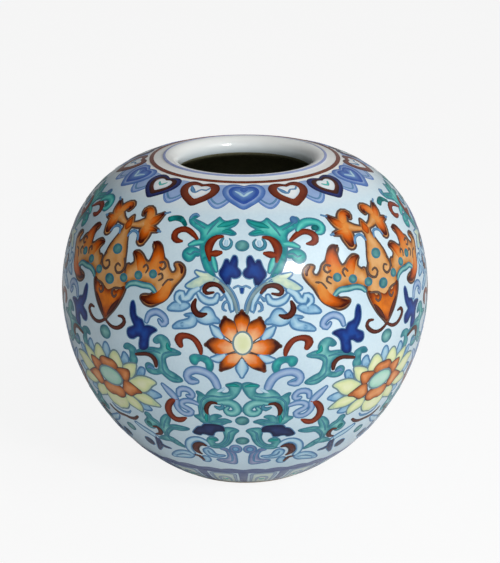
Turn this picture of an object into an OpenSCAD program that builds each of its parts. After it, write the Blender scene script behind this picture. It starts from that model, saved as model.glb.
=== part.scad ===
// Apple-shaped porcelain water coupe, the small water pot of a scholar's desk.
// Two thrown bowls are luted rim to rim, a foot ring and a mouth bead finish the ends,
// a thin glaze coats the clay inside and out, and enamel is fired on top of the glaze.
// The section is drawn in the XZ half plane and turned about Z. The pot stands on Z = 0.

/* [Outside shape] */
// Greatest diameter, over the glaze
belly_d = 100; // [90:1:120]
// Height of the greatest diameter above the table
belly_z = 49; // [42:1:54]
// Diameter on which the outside meets the table
foot_d = 44; // [38:1:54]
// Height of the shoulder where the mouth's lip is set in
lip_z = 86; // [80:0.5:96]
// Angle above the belly at which the shoulder's arc takes over
shoulder_from = 20; // [12:0.5:26]
// Angle below the belly at which the side's arc takes over
side_from = 6; // [4:0.5:14]

/* [Clay] */
// Thickness of the thrown wall
wall = 3.2; // [2.4:0.2:4.4]
// Thickness of the floor at its middle
floor_t = 4; // [3:0.5:6]
// Radius of the dished floor inside
dish_arc = 90; // [60:5:150]
// Height of the seam where the two thrown bowls meet
seam_z = 49; // [40:1:58]
// Thickness of the slip in that seam
seam_t = 0.4; // [0.2:0.1:0.8]

/* [Mouth and foot] */
// Clear diameter of the mouth, over the glaze
mouth_d = 35.8; // [30:0.2:44]
// Diameter of the mouth's rounded bead, without its glaze
bead_d = 5.2; // [4:0.1:6]
// How far the bead stands over the shoulder's line
bead_rise = 0.2; // [0.05:0.05:0.5]
// Width of the plain stretch between the bead and the lip's seat
lip_root = 0.1; // [0.05:0.05:1]
// Height of the foot ring, which is the depth of the recess under the pot
foot_h = 5; // [4.5:0.5:7]
// Width of the foot's rim, over the glaze
foot_rim_w = 3; // [2.5:0.25:6]
// Bevel on the inner edge of the bare foot rim
foot_bevel = 0.5; // [0.2:0.1:1]

/* [Coats] */
// Thickness of the glaze
glaze_t = 0.3; // [0.2:0.05:0.5]
// Height at which the glaze stops above the table
bare_foot = 1.2; // [0.8:0.2:2]
// Thickness of the fired enamel
enamel_t = 0.15; // [0.1:0.05:0.25]

/* [Painted bands] */
// Width of the blue line on the mouth's bead
mouth_line_w = 0.7; // [0.4:0.1:1]
// Width of the red ring round the mouth
red_ring_w = 2; // [1:0.25:3]
// Drop of the collar's hearts below the lip's seat, along the wall
heart_drop = 6.4; // [5.5:0.1:8]
// Height of the line over the panels at the foot
panel_line_z = 8.4; // [6:0.2:12]
// Width of that line
panel_line_w = 0.6; // [0.3:0.1:1.2]
// Width of the bars between the panels
panel_bar_w = 2.2; // [1:0.1:3]

/* [Painted flowers] */
// Radius of the orange lotus's middle
lotus_core_r = 2.3; // [1.5:0.1:3]
// Height of the yellow lotus's middle
mint_core_h = 4.6; // [3:0.2:6]
// Radius of the turquoise dots
dot_r = 1.3; // [0.8:0.1:1.6]

/* [Hidden] */
$fn = 360;

porcelain = "ivory";
slip = "linen";
biscuit = "wheat";
clear_glaze = "aliceblue";
iron_red = "firebrick";
cobalt = "royalblue";
navy = "midnightblue";
orange = "darkorange";
yellow = "khaki";
mint = "aquamarine";
turquoise = "teal";

// The painter's axes: a lotus on each of four turns, a bat and a yellow lotus between them
lotus_turns = [-0.9, 90.6, 180.4, 269.9];
bat_turns = [46.2, 135, 225, 314.7];
heart_count = 16;
heart_turn = -0.5;
panel_count = 18;
panel_turn = -0.9;
// One millimetre of the painting on a pot 100 mm wide
unit = belly_d / 100;

// Depths below the glazed outside: the clay's two faces and the middle of its wall
clay_out = glaze_t;
clay_in = glaze_t + wall;
clay_mid = glaze_t + wall / 2;

// Mouth and foot
mouth_r = mouth_d / 2;
bead = bead_d / 2;
bead_r = mouth_r + glaze_t + bead;
lip_r = bead_r + bead + lip_root;
foot_in_r = foot_d / 2 - foot_rim_w;
floor_z = foot_h + floor_t;

// The belly is a zone of a sphere. The side's arc leaves it below and ends at the foot
belly_r = belly_d / 2;
belly_at = [0, belly_z];
side_way = [cos(side_from), -sin(side_from)];
foot_from_side = [foot_d / 2, 0] - belly_at - belly_r * side_way;
side_arc = -(foot_from_side * foot_from_side) / (2 * foot_from_side * side_way);
side_at = belly_at + (belly_r - side_arc) * side_way;
side_flat = side_arc > belly_r;

// The shoulder's arc leaves the sphere above and ends at the lip's seat
meeting_way = [cos(shoulder_from), sin(shoulder_from)];
lip_from_meeting = [lip_r, lip_z] - belly_at - belly_r * meeting_way;
shoulder_arc = -(lip_from_meeting * lip_from_meeting) / (2 * lip_from_meeting * meeting_way);
shoulder_at = belly_at + (belly_r - shoulder_arc) * meeting_way;

// Climbs along the outside from the belly, at the arcs' ends and at the painted bands
radian = 180 / PI;
side_climb = -belly_r * side_from / radian;
shoulder_climb = belly_r * shoulder_from / radian;
lip_slope = atan2(lip_z - shoulder_at.y, lip_r - shoulder_at.x);
lip_climb = shoulder_climb + shoulder_arc * (lip_slope - shoulder_from) / radian;
line_slope = asin((panel_line_z - panel_line_w / 2 - side_at.y) / side_arc);
line_climb = side_climb + side_arc * (line_slope + side_from) / radian;
bare_slope = asin((bare_foot - side_at.y) / side_arc);
bare_climb = side_climb + side_arc * (bare_slope + side_from) / radian;
heart_climb = lip_climb - heart_drop;
heart_w = 0.9 * 2 * PI * wall_at(heart_climb).x / heart_count;

// The bead hangs from the shoulder's line. The dark glaze starts on its inner side
bead_at = [bead_r, shoulder_z(bead_r, bead + glaze_t - bead_rise)];
dark_z = bead_at.y - bead / 2;
reach = 2 * belly_d;

// Height of the shoulder's arc at radius r, at a depth below the glazed outside
function shoulder_z(r, depth) =
    shoulder_at.y + sqrt(pow(shoulder_arc - depth, 2) - pow(r - shoulder_at.x, 2));

// Slope of the outward normal over the horizon at a climb from the belly
function wall_slope(climb) =
    climb < side_climb ? radian * (climb - side_climb) / side_arc - side_from
    : climb > shoulder_climb ? radian * (climb - shoulder_climb) / shoulder_arc + shoulder_from
    : radian * climb / belly_r;

// Radius and height of the outside at a climb from the belly
function wall_at(climb) =
    let (slope = wall_slope(climb), way = [cos(slope), sin(slope)])
    climb < side_climb ? side_at + side_arc * way
    : climb > shoulder_climb ? shoulder_at + shoulder_arc * way
    : belly_at + belly_r * way;

// Half section of the closed outside shape, taken in by a depth. Where two circles touch, the
// larger is cut on the line through their middles and the smaller stays whole
module closed_half(depth) {
    intersection() {
        union() {
            intersection() {
                translate(side_at) circle(side_arc - depth);
                translate(belly_at) rotate(-side_from)
                    translate([-reach, -reach]) square([2 * reach, side_flat ? reach : 2 * reach]);
            }
            intersection() {
                translate(belly_at) circle(belly_r - depth);
                translate(belly_at) rotate(-side_from)
                    translate([-reach, side_flat ? -reach : 0]) square([2 * reach, 2 * reach]);
                translate(belly_at) rotate(shoulder_from)
                    translate([-reach, -reach]) square([2 * reach, reach]);
            }
            translate(shoulder_at) circle(shoulder_arc - depth);
        }
        square([reach, reach]);
    }
}

// Half section of the water chamber, with its dished floor, made smaller by a coat
module chamber_half(coat) {
    intersection() {
        closed_half(clay_in + coat);
        translate([0, floor_z + coat + dish_arc]) circle(dish_arc);
    }
}

// Half section of the recess under the pot, made smaller by a coat
module recess_half(coat) {
    square([foot_in_r - coat, foot_h - coat]);
    polygon([
        [0, 0],
        [foot_in_r + foot_bevel - coat, 0],
        [foot_in_r - coat, foot_bevel],
        [0, foot_bevel]
    ]);
}

// Half section of the whole wall from foot to mouth. Coat 0 is the bare clay
module wall_half(coat) {
    difference() {
        closed_half(clay_out - coat);
        chamber_half(coat);
        recess_half(coat);
        translate([0, belly_z]) square([bead_r, reach]);
    }
    translate(bead_at) circle(bead + coat);
}

// Half section of the glaze alone
module glaze_half() {
    difference() {
        wall_half(coat = glaze_t);
        wall_half(coat = 0);
    }
}

// Half section of an enamel coat over the whole outside
module enamel_half() {
    difference() {
        closed_half(-enamel_t);
        closed_half(0);
    }
}

// The strip of the half section between two heights
module between(low, high) {
    translate([0, low]) square([reach, high - low]);
}

// Bare ring that the pot stands on
module foot_ring() {
    color(biscuit) rotate_extrude() intersection() {
        wall_half(coat = 0);
        between(0, foot_h);
    }
}

// Lower thrown bowl, with the floor
module lower_bowl() {
    color(porcelain) rotate_extrude() intersection() {
        wall_half(coat = 0);
        between(foot_h, seam_z - seam_t / 2);
    }
}

// Slip that joins the two bowls
module luting_seam() {
    color(slip) rotate_extrude() intersection() {
        wall_half(coat = 0);
        between(seam_z - seam_t / 2, seam_z + seam_t / 2);
    }
}

// Upper thrown bowl, from the seam to the seat of the lip
module upper_bowl() {
    color(porcelain) rotate_extrude() intersection() {
        wall_half(coat = 0);
        between(seam_z + seam_t / 2, reach);
        translate([lip_r, 0]) square(reach);
    }
}

// Lip round the mouth, with its rounded bead
module lip_ring() {
    color(porcelain) rotate_extrude() intersection() {
        wall_half(coat = 0);
        translate([0, belly_z]) square([lip_r, reach]);
    }
}

// Half section of the region behind the middle of the wall, without the bead's upper part
module inner_half() {
    difference() {
        closed_half(clay_mid);
        translate([0, dark_z]) square([bead_r, reach]);
    }
}

// Glaze on the outside, from the bare foot over the bead
module outer_glaze() {
    color(clear_glaze) rotate_extrude() difference() {
        glaze_half();
        inner_half();
        between(-reach, bare_foot);
    }
}

// Glaze on the inside, from the bead's inner side to the floor
module inner_glaze() {
    color(clear_glaze) rotate_extrude() intersection() {
        glaze_half();
        inner_half();
        between(foot_h, reach);
    }
}

// Glaze in the recess under the pot
module base_glaze() {
    color(clear_glaze) rotate_extrude() intersection() {
        glaze_half();
        between(bare_foot, foot_h);
        square(foot_in_r);
    }
}

// Blue line painted round the mouth's bead
module mouth_blue_line() {
    color(cobalt) rotate_extrude() intersection() {
        difference() {
            translate(bead_at) circle(bead + glaze_t + enamel_t);
            translate(bead_at) circle(bead + glaze_t);
            closed_half(0);
        }
        translate([bead_r + bead / 6, bead_at.y]) square([mouth_line_w, reach]);
    }
}

// Red ring painted round the lip
module mouth_red_ring() {
    color(iron_red) rotate_extrude() intersection() {
        enamel_half();
        translate([lip_r, belly_z]) square([red_ring_w, reach]);
    }
}

// Enamel on the outside where prisms on the wall cut it out
module painted() {
    intersection() {
        rotate_extrude() enamel_half();
        children();
    }
}

// A prism of a drawing, set upright on the wall at a turn and a climb
module set_on(turn, climb) {
    spot = wall_at(climb);
    rotate([0, 0, turn]) translate([0, -spot.x, spot.y]) rotate([90 - wall_slope(climb), 0, 0])
        linear_extrude(5 * unit, center = true) children();
}

// Leaf shape between two arcs, along X
module vesica(long, wide) {
    arc = (pow(long, 2) + pow(wide, 2)) / (4 * wide);
    intersection() {
        translate([0, arc - wide / 2]) circle(arc);
        translate([0, wide / 2 - arc]) circle(arc);
    }
}

// A petal and its mirror image about the axis
module petal_pair(at, tilt, long, wide) {
    translate(at) rotate(tilt) vesica(long, wide);
    translate([-at.x, at.y]) rotate(180 - tilt) vesica(long, wide);
}

// Heart with two round lobes above and a point below
module heart(wide) {
    lobe = 0.27 * wide;
    for (side = [-1, 1]) translate([side * (wide / 2 - lobe), 0.08 * wide]) circle(lobe);
    polygon([
        [-0.47 * wide, -0.06 * wide],
        [0, -0.48 * wide],
        [0.47 * wide, -0.06 * wide],
        [0.2 * wide, 0.2 * wide],
        [-0.2 * wide, 0.2 * wide]
    ]);
}

// Every third heart of the collar, counted out from the front on both sides
module hearts(first) {
    for (k = [1 - heart_count / 2 : heart_count / 2])
        if (abs(k) % 3 == first)
            set_on(heart_turn + k * 360 / heart_count, heart_climb) heart(heart_w);
}

// Hearts of the collar with a dark red border
module ruyi_hearts_red() {
    color(iron_red) painted() hearts(1);
}

// Hearts of the collar with a navy border
module ruyi_hearts_navy() {
    color(navy) painted() hearts(2);
}

// Hearts of the collar in two blues
module ruyi_hearts_blue() {
    color(cobalt) painted() hearts(0);
}

// Petals of the orange lotus
module lotus_petals() {
    color(orange) painted() for (turn = lotus_turns) set_on(turn, 2.9 * unit) difference() {
        scale(unit) {
            translate([0, 5.2]) rotate(90) vesica(5.8, 3.2);
            petal_pair([3.2, 4.2], 53, 4.9, 3);
            petal_pair([5.7, -0.8], 2, 6.3, 3.1);
            petal_pair([3.2, -5], -47, 5.8, 2.6);
        }
        circle(lotus_core_r + 0.1);
    }
}

// Middles of the orange lotus
module lotus_cores() {
    color(yellow) painted() for (turn = lotus_turns) set_on(turn, 2.9 * unit) circle(lotus_core_r);
}

// Drawing of the yellow lotus's middle, made larger by a margin
module mint_core(margin) {
    long = 3.2 * unit;
    for (side = [-1, 1]) translate([side * long / 2, 0]) circle(mint_core_h / 2 + margin);
    square([long, mint_core_h + 2 * margin], center = true);
}

// Petals of the yellow lotus under each bat
module yellow_petals() {
    color(yellow) painted() for (turn = bat_turns) set_on(turn, -13.7 * unit) difference() {
        scale(unit) {
            petal_pair([8, 5], 37, 4.6, 2);
            petal_pair([11.4, 1], 18, 8.2, 3.4);
            petal_pair([11.7, -3.7], -6, 8, 2.6);
            petal_pair([6.8, -6.6], -37, 6.5, 2.6);
            petal_pair([2.1, -7.5], -65, 5.5, 3);
        }
        mint_core(0.1);
    }
}

// Middles of the yellow lotus
module mint_cores() {
    color(mint) painted() for (turn = bat_turns) set_on(turn, -13.7 * unit) mint_core(0);
}

// Dots on the lotus axes and on the bats
module turquoise_dots() {
    color(turquoise) painted() {
        for (turn = lotus_turns, climb = [27.1, -19.9, -27.6]) set_on(turn, climb * unit) circle(dot_r);
        for (turn = bat_turns, climb = [20.9, 12.9, -0.8, -31]) set_on(turn, climb * unit) circle(dot_r);
        for (turn = bat_turns, side = [-1, 1], spot = [[5.8, 14.6], [11.3, 16.7], [16.6, 17.4]])
            set_on(turn + side * spot.x, spot.y * unit) circle(dot_r);
    }
}

// Blue line over the panels at the foot
module panel_line() {
    color(cobalt) rotate_extrude() intersection() {
        enamel_half();
        between(panel_line_z - panel_line_w / 2, panel_line_z + panel_line_w / 2);
    }
}

// Bars between the panels at the foot, from under the line to over the bare foot
module foot_panel_bars() {
    top = line_climb - 0.6;
    low = bare_climb + 1;
    color(cobalt) painted() for (k = [0 : panel_count - 1])
        set_on(panel_turn + k * 360 / panel_count, (top + low) / 2)
            square([panel_bar_w, top - low], center = true);
}

foot_ring();
lower_bowl();
luting_seam();
upper_bowl();
lip_ring();
outer_glaze();
inner_glaze();
base_glaze();
mouth_blue_line();
mouth_red_ring();
ruyi_hearts_red();
ruyi_hearts_navy();
ruyi_hearts_blue();
lotus_petals();
lotus_cores();
yellow_petals();
mint_cores();
turquoise_dots();
panel_line();
foot_panel_bars();
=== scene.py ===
"""Painted porcelain water coupe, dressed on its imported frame.

The pot's outside is one curve of three arcs, and every painted mark lies on that curve. A mark's place is
given by its turn round the pot in degrees and by its climb along the wall in millimetres above the belly.
The pattern mirrors about each lotus and each bat, so one eighth of it is drawn and laid eight times.
"""

import logging
import math
from dataclasses import dataclass, field
from enum import Enum
from functools import cached_property
from typing import Callable, Iterable, Sequence

import bpy
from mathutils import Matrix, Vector
from mathutils.geometry import delaunay_2d_cdt


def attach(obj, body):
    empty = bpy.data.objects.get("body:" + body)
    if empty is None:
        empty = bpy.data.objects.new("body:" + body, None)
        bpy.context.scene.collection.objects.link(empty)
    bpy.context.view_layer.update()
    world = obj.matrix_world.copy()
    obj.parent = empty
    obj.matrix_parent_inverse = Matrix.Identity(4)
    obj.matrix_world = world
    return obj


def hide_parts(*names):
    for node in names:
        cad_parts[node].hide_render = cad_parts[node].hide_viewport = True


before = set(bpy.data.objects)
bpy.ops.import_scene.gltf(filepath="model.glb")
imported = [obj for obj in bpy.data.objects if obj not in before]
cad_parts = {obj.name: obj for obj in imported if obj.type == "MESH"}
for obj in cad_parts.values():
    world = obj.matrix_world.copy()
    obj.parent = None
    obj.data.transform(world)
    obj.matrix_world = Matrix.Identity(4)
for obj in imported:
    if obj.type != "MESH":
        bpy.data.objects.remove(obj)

LOG = logging.getLogger("water_coupe")
MM = 0.001
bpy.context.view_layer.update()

Point = tuple[float, float]
Dab = tuple[float, float, float]
Colour = tuple[float, float, float]
Arc = tuple[float, float, float]


def ink(red: int, green: int, blue: int) -> Colour:
    """Turn a colour as a screen shows it, 0 to 255, into Blender's linear values."""
    def linear(level: int) -> float:
        """Linear value of one channel."""
        share = level / 255
        return share / 12.92 if share <= 0.04045 else ((share + 0.055) / 1.055) ** 2.4
    return linear(red), linear(green), linear(blue)


class Layer(Enum):
    """Height of a coat over the glaze in mm: of its outline, at a mark's edge and at its middle."""

    UNDER = (0.008, 0.012, 0.016)
    LINE = (0.020, 0.024, 0.030)
    WASH = (0.034, 0.038, 0.058)
    OVER = (0.062, 0.066, 0.080)
    TOP = (0.084, 0.088, 0.098)
    CREST = (0.102, 0.106, 0.114)
    PEAK = (0.118, 0.122, 0.130)


class Shade(Enum):
    """How the tone runs over a mark, from pale to deep."""

    PETAL = "pale at the root, deep at the tip and along both edges"
    RIM = "pale in the middle, deep at the edge"
    EVEN = "the same all over"


@dataclass(frozen=True)
class Grain:
    """Unevenness of a surface: its scale per metre and its detail."""

    scale: float
    detail: float = 2.0


POOLS = Grain(420, 3)
SPECKS = Grain(2600)
CLOUDS = Grain(38, 4)
PEEL = Grain(260)
DUST = Grain(1500, 1)
STAIN = Grain(160, 4)
GRIT = Grain(3000)
PAPER = Grain(9, 3)

# The attribute that holds a mark's tone, its share of the colour, and the tone of the palest paint
TONE = "tone"
BRUSH_SHARE = 0.8
PALEST = 0.08


@dataclass(frozen=True)
class Enamel:
    """One fired colour: its tones, its gloss, the line that edges it and the CAD nodes that it stands for."""

    piece: str
    slot: str
    pale: Colour
    full: Colour
    deep: Colour
    edge: str = ""
    edge_width: float = 0.42
    mottle: float = 0.35
    roughness: float = 0.16
    specular: float = 0.25
    speck_roughness: float = 0.06
    speck_strength: float = 0.25
    speck_depth: float = 0.00003
    nodes: tuple[str, ...] = ()

    def material(self) -> bpy.types.Material:
        """Glossy enamel whose tone runs as the brush left it and pools a little unevenly."""
        shader = Shader(bpy.data.materials.new(self.piece))
        tone = shader.node("ShaderNodeAttribute", {"attribute_name": TONE}, {}, "Fac")
        pooled = tone * BRUSH_SHARE + (shader.noise(POOLS) - 0.5) * (2 * self.mottle) + PALEST
        speck = shader.noise(SPECKS)
        colour = shader.ramp(pooled, (0.0, self.pale), (0.5, self.full), (1.0, self.deep))
        return shader.finish(Base_Color=colour, Roughness=self.roughness + speck * self.speck_roughness,
                             Specular_IOR_Level=self.specular,
                             Normal=shader.bump(speck, self.speck_strength, self.speck_depth))


ENAMELS: dict[str, Enamel] = {
    enamel.piece: enamel
    for enamel in (
        Enamel("blue_outlines", "cobalt_blue", ink(106, 152, 188), ink(76, 124, 168), ink(48, 86, 138)),
        Enamel("grey_outlines", "cobalt_blue", ink(140, 164, 170), ink(108, 136, 146), ink(78, 104, 118)),
        Enamel("brown_outlines", "iron_red_enamel", ink(108, 88, 78), ink(82, 64, 58), ink(54, 38, 36)),
        Enamel("teal_outlines", "cobalt_blue", ink(78, 146, 166), ink(54, 118, 142), ink(30, 84, 110)),
        Enamel("green_leaves", "turquoise_enamel", ink(104, 206, 194), ink(56, 168, 164), ink(18, 114, 126),
               edge="teal_outlines", edge_width=0.34),
        Enamel("lower_leaves", "turquoise_enamel", ink(138, 202, 198), ink(92, 166, 168), ink(36, 112, 128),
               edge="teal_outlines", edge_width=0.34),
        Enamel("deep_green_commas", "turquoise_enamel", ink(36, 162, 156), ink(12, 130, 128), ink(0, 78, 84)),
        Enamel("turquoise_spots", "turquoise_enamel", ink(144, 198, 194), ink(98, 160, 160), ink(38, 88, 102),
               edge="teal_outlines", edge_width=0.3, nodes=("turquoise_dots",)),
        Enamel("cobalt_flowers", "cobalt_blue", ink(14, 70, 154), ink(4, 42, 118), ink(2, 20, 78),
               edge="blue_outlines", edge_width=0.25),
        Enamel("navy_flowers", "cobalt_blue", ink(40, 56, 104), ink(26, 36, 76), ink(16, 22, 52),
               edge="blue_outlines", edge_width=0.25),
        Enamel("pale_blue_leaves", "cobalt_blue", ink(190, 217, 230), ink(162, 201, 222), ink(106, 158, 198),
               edge="blue_outlines", edge_width=0.48),
        Enamel("pale_green_leaves", "yellow_enamel", ink(220, 232, 206), ink(200, 220, 196),
               ink(160, 194, 190), edge="blue_outlines", edge_width=0.46),
        Enamel("lavender_scrolls", "cobalt_blue", ink(166, 190, 216), ink(136, 164, 204), ink(92, 122, 178),
               edge="blue_outlines", edge_width=0.36),
        Enamel("purple_scrolls", "cobalt_blue", ink(184, 190, 212), ink(150, 158, 192), ink(100, 108, 152),
               edge="blue_outlines", edge_width=0.4),
        Enamel("iron_red_curls", "iron_red_enamel", ink(146, 56, 22), ink(106, 34, 14), ink(58, 18, 8)),
        Enamel("dark_red_accents", "iron_red_enamel", ink(98, 42, 28), ink(66, 26, 18), ink(38, 14, 10)),
        Enamel("orange_petals", "orange_enamel", ink(248, 206, 156), ink(222, 106, 10), ink(58, 10, 2),
               edge="brown_outlines", edge_width=0.3, mottle=0.2, nodes=("lotus_petals",)),
        Enamel("bats", "orange_enamel", ink(216, 166, 110), ink(198, 134, 70), ink(150, 84, 36),
               edge="brown_outlines", edge_width=0.55, mottle=0.5),
        Enamel("bat_tips", "orange_enamel", ink(222, 152, 74), ink(204, 92, 8), ink(66, 14, 4), mottle=0.2),
        Enamel("bat_bodies", "orange_enamel", ink(216, 116, 18), ink(162, 70, 12), ink(66, 20, 8),
               mottle=0.5),
        Enamel("rust_petals", "orange_enamel", ink(228, 160, 102), ink(208, 124, 66), ink(140, 68, 34),
               edge="brown_outlines", edge_width=0.3),
        Enamel("lotus_middles", "yellow_enamel", ink(220, 227, 174), ink(228, 233, 196), ink(238, 242, 218),
               edge="grey_outlines", edge_width=0.48, nodes=("lotus_cores",)),
        Enamel("yellow_lotus", "yellow_enamel", ink(232, 236, 198), ink(218, 226, 170), ink(178, 202, 168),
               edge="grey_outlines", nodes=("yellow_petals",)),
        Enamel("mint_middles", "mint_enamel", ink(192, 226, 212), ink(170, 216, 198), ink(134, 190, 176),
               edge="grey_outlines", edge_width=0.5, nodes=("mint_cores",)),
        Enamel("ruyi_blue", "cobalt_blue", ink(116, 152, 206), ink(84, 122, 186), ink(58, 94, 164),
               nodes=("ruyi_hearts_blue",)),
        Enamel("ruyi_red", "iron_red_enamel", ink(120, 52, 26), ink(98, 38, 20), ink(64, 22, 12),
               nodes=("ruyi_hearts_red",)),
        Enamel("ruyi_navy", "cobalt_blue", ink(46, 58, 120), ink(28, 38, 92), ink(18, 24, 66),
               nodes=("ruyi_hearts_navy",)),
        Enamel("ruyi_white", "pale_glaze", ink(236, 240, 240), ink(226, 234, 238), ink(206, 218, 226)),
        Enamel("collar_rings", "cobalt_blue", ink(72, 108, 182), ink(50, 86, 168), ink(36, 66, 144)),
        Enamel("collar_lappets", "cobalt_blue", ink(170, 192, 224), ink(146, 172, 214), ink(112, 140, 194)),
        Enamel("foot_bars", "cobalt_blue", ink(120, 134, 164), ink(92, 104, 144), ink(68, 80, 122),
               nodes=("foot_panel_bars",)),
        Enamel("foot_frames", "cobalt_blue", ink(160, 178, 196), ink(132, 152, 180), ink(104, 126, 162)),
        Enamel("foot_fills", "yellow_enamel", ink(210, 222, 210), ink(194, 210, 204), ink(160, 186, 190)),
    )
}


DOT_CORNERS = 10


@dataclass(frozen=True)
class Mark:
    """One mark of the brush: a stroke of varying width, or a patch inside a closed outline."""

    enamel: str
    points: tuple
    layer: Layer
    shade: Shade
    closed: bool
    edged: bool


def stroke(enamel: str, *dabs: Dab, layer: Layer = Layer.WASH, shade: Shade = Shade.RIM,
           edged: bool = True) -> Mark:
    """Draw a stroke through dabs.

    Args:
        enamel: Piece name of the colour.
        dabs: Turn in degrees, climb in mm and width in mm at each dab.
        layer: Height of the coat.
        shade: How its tone runs.
        edged: Whether the colour's own outline goes round it.

    Returns:
        The mark.
    """
    return Mark(enamel, dabs, layer, shade, False, edged)


def patch(enamel: str, *corners: Point, layer: Layer = Layer.WASH, shade: Shade = Shade.RIM,
          edged: bool = True) -> Mark:
    """Fill a closed smooth outline.

    Args:
        enamel: Piece name of the colour.
        corners: Turn in degrees and climb in mm of each point of the outline, in order.
        layer: Height of the coat.
        shade: How its tone runs.
        edged: Whether the colour's own outline goes round it.

    Returns:
        The mark.
    """
    return Mark(enamel, corners, layer, shade, True, edged)


def mirrored(enamel: str, *half: Point, layer: Layer = Layer.WASH, shade: Shade = Shade.RIM,
             edged: bool = True) -> Mark:
    """Fill an outline that mirrors about turn 0.

    Args:
        enamel: Piece name of the colour.
        half: The outline's points on one side, from top to bottom, the first and last on the axis.
        layer: Height of the coat.
        shade: How its tone runs.
        edged: Whether the colour's own outline goes round it.

    Returns:
        The mark.
    """
    other = tuple((-turn, climb) for turn, climb in reversed(half[1:-1]))
    return patch(enamel, *half, *other, layer=layer, shade=shade, edged=edged)


def arched(enamel: str, *half: Dab, layer: Layer = Layer.WASH, shade: Shade = Shade.RIM,
           edged: bool = True) -> Mark:
    """Draw a stroke that mirrors about turn 0.

    Args:
        enamel: Piece name of the colour.
        half: The stroke's dabs on one side, from its end to the axis.
        layer: Height of the coat.
        shade: How its tone runs.
        edged: Whether the colour's own outline goes round it.

    Returns:
        The mark.
    """
    other = tuple((-turn, climb, width) for turn, climb, width in reversed(half[:-1]))
    return stroke(enamel, *half, *other, layer=layer, shade=shade, edged=edged)


def dot(enamel: str, turn: float, climb: float, wide: float, tall: float, layer: Layer = Layer.WASH) -> Mark:
    """Paint an oval dot.

    Args:
        enamel: Piece name of the colour.
        turn: Place of its middle in degrees.
        climb: Place of its middle in mm.
        wide: Half of its width in degrees.
        tall: Half of its height in mm.
        layer: Height of the coat.

    Returns:
        The mark.
    """
    angles = [math.tau * step / DOT_CORNERS for step in range(DOT_CORNERS)]
    corners = [(turn + wide * math.cos(angle), climb + tall * math.sin(angle)) for angle in angles]
    return patch(enamel, *corners, layer=layer)


# One eighth of the pattern, from the lotus axis at turn 0 to the bat axis at turn 45
EIGHTH_TURN = 45.0
UPPER_LEAF = (
    patch("green_leaves", (17.6, 34.3), (19.9, 34.4), (20.4, 33.4), (19.6, 32.2), (17.3, 31.2),
          (15.3, 30.3), (14.5, 29.3), (14.3, 27.8), (13.9, 25.8), (13.3, 23.8), (12.2, 21.8), (11.2, 20.4),
          (9.7, 19.4), (8.4, 19.1), (9.7, 21.1), (10.7, 22.6), (11.8, 24.3), (12.3, 25.8), (12.5, 27.3),
          (11.2, 28.6), (9.4, 29.5), (7.4, 30.1), (5.6, 30.1), (3.8, 29.9), (2.4, 30.2), (3.6, 30.9),
          (4.9, 31.6), (3.4, 32.3), (2.2, 33.1), (1.7, 34.2), (3.4, 34.0), (5.2, 33.6), (6.6, 33.5),
          (8.0, 34.0), (8.9, 34.6), (10.0, 33.8), (11.4, 32.9), (12.8, 32.0), (14.8, 32.5), (16.8, 33.0),
          (18.9, 33.6)),
    stroke("deep_green_commas", (9.0, 31.9, 0.5), (6.8, 32.6, 1.5), (4.4, 33.1, 1.3), (2.4, 33.7, 0.5),
           layer=Layer.OVER),
    stroke("deep_green_commas", (7.0, 30.7, 0.5), (5.4, 30.9, 1.0), (3.8, 30.5, 0.5), layer=Layer.OVER),
    stroke("teal_outlines", (12.5, 29.6, 0.3), (11.4, 31.3, 0.5), (9.2, 33.6, 0.4), layer=Layer.OVER),
    stroke("teal_outlines", (13.8, 31.2, 0.4), (16.4, 32.1, 0.5), (19.0, 33.2, 0.4), layer=Layer.OVER),
    patch("green_leaves", (19.4, 24.5), (19.2, 23.1), (17.5, 22.3), (16.1, 22.8), (15.3, 23.8),
          (14.3, 23.9), (13.8, 24.7), (15.3, 25.6), (17.8, 25.6)),
    stroke("teal_outlines", (14.2, 24.7, 0.4), (15.8, 24.8, 0.5), (17.0, 23.9, 0.5), (18.2, 24.2, 0.4),
           layer=Layer.OVER),
    stroke("green_leaves", (13.8, 27.4, 1.0), (15.6, 27.2, 1.3), (17.8, 26.4, 0.6)),
    stroke("pale_blue_leaves", (5.4, 28.1, 0.9), (5.5, 27.3, 0.9), edged=False),
    stroke("teal_outlines", (6.6, 28.8, 0.6), (7.3, 27.9, 0.9), (6.9, 26.7, 1.0), (5.4, 26.2, 1.0),
           (4.0, 26.8, 0.9), (3.6, 28.0, 0.7), (4.4, 28.8, 0.4)),
    stroke("iron_red_curls", (6.9, 29.3, 0.8), (8.8, 29.0, 1.3), (10.4, 27.9, 2.0), (11.2, 26.4, 2.2),
           (11.0, 24.9, 1.7), (10.4, 23.0, 0.7), layer=Layer.OVER),
    stroke("iron_red_curls", (10.4, 24.6, 1.2), (8.6, 24.8, 1.8), (7.0, 25.1, 1.0), layer=Layer.OVER),
    stroke("green_leaves", (9.5, 23.8, 0.7), (8.9, 22.2, 1.2), (8.1, 20.6, 0.6)),
)
UPPER_CURLS = (
    stroke("iron_red_curls", (15.8, 28.2, 0.9), (17.6, 29.3, 1.4), (20.0, 30.2, 1.6), (22.4, 30.1, 1.7),
           (24.2, 29.0, 1.9), (24.0, 27.6, 1.8), (22.6, 27.0, 1.5), (21.0, 27.0, 0.7)),
)
LEFT_CURLS = (
    patch("deep_green_commas", (29.6, 32.7), (27.5, 33.6), (24.4, 33.9), (22.4, 33.1), (20.7, 31.6),
          (21.6, 30.9), (23.4, 31.9), (25.9, 32.2), (28.4, 31.6)),
    stroke("blue_outlines", (20.2, 33.6, 0.6), (19.7, 34.5, 0.9), (18.4, 34.9, 0.9), (17.2, 34.5, 0.5),
           layer=Layer.OVER),
)
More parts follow.
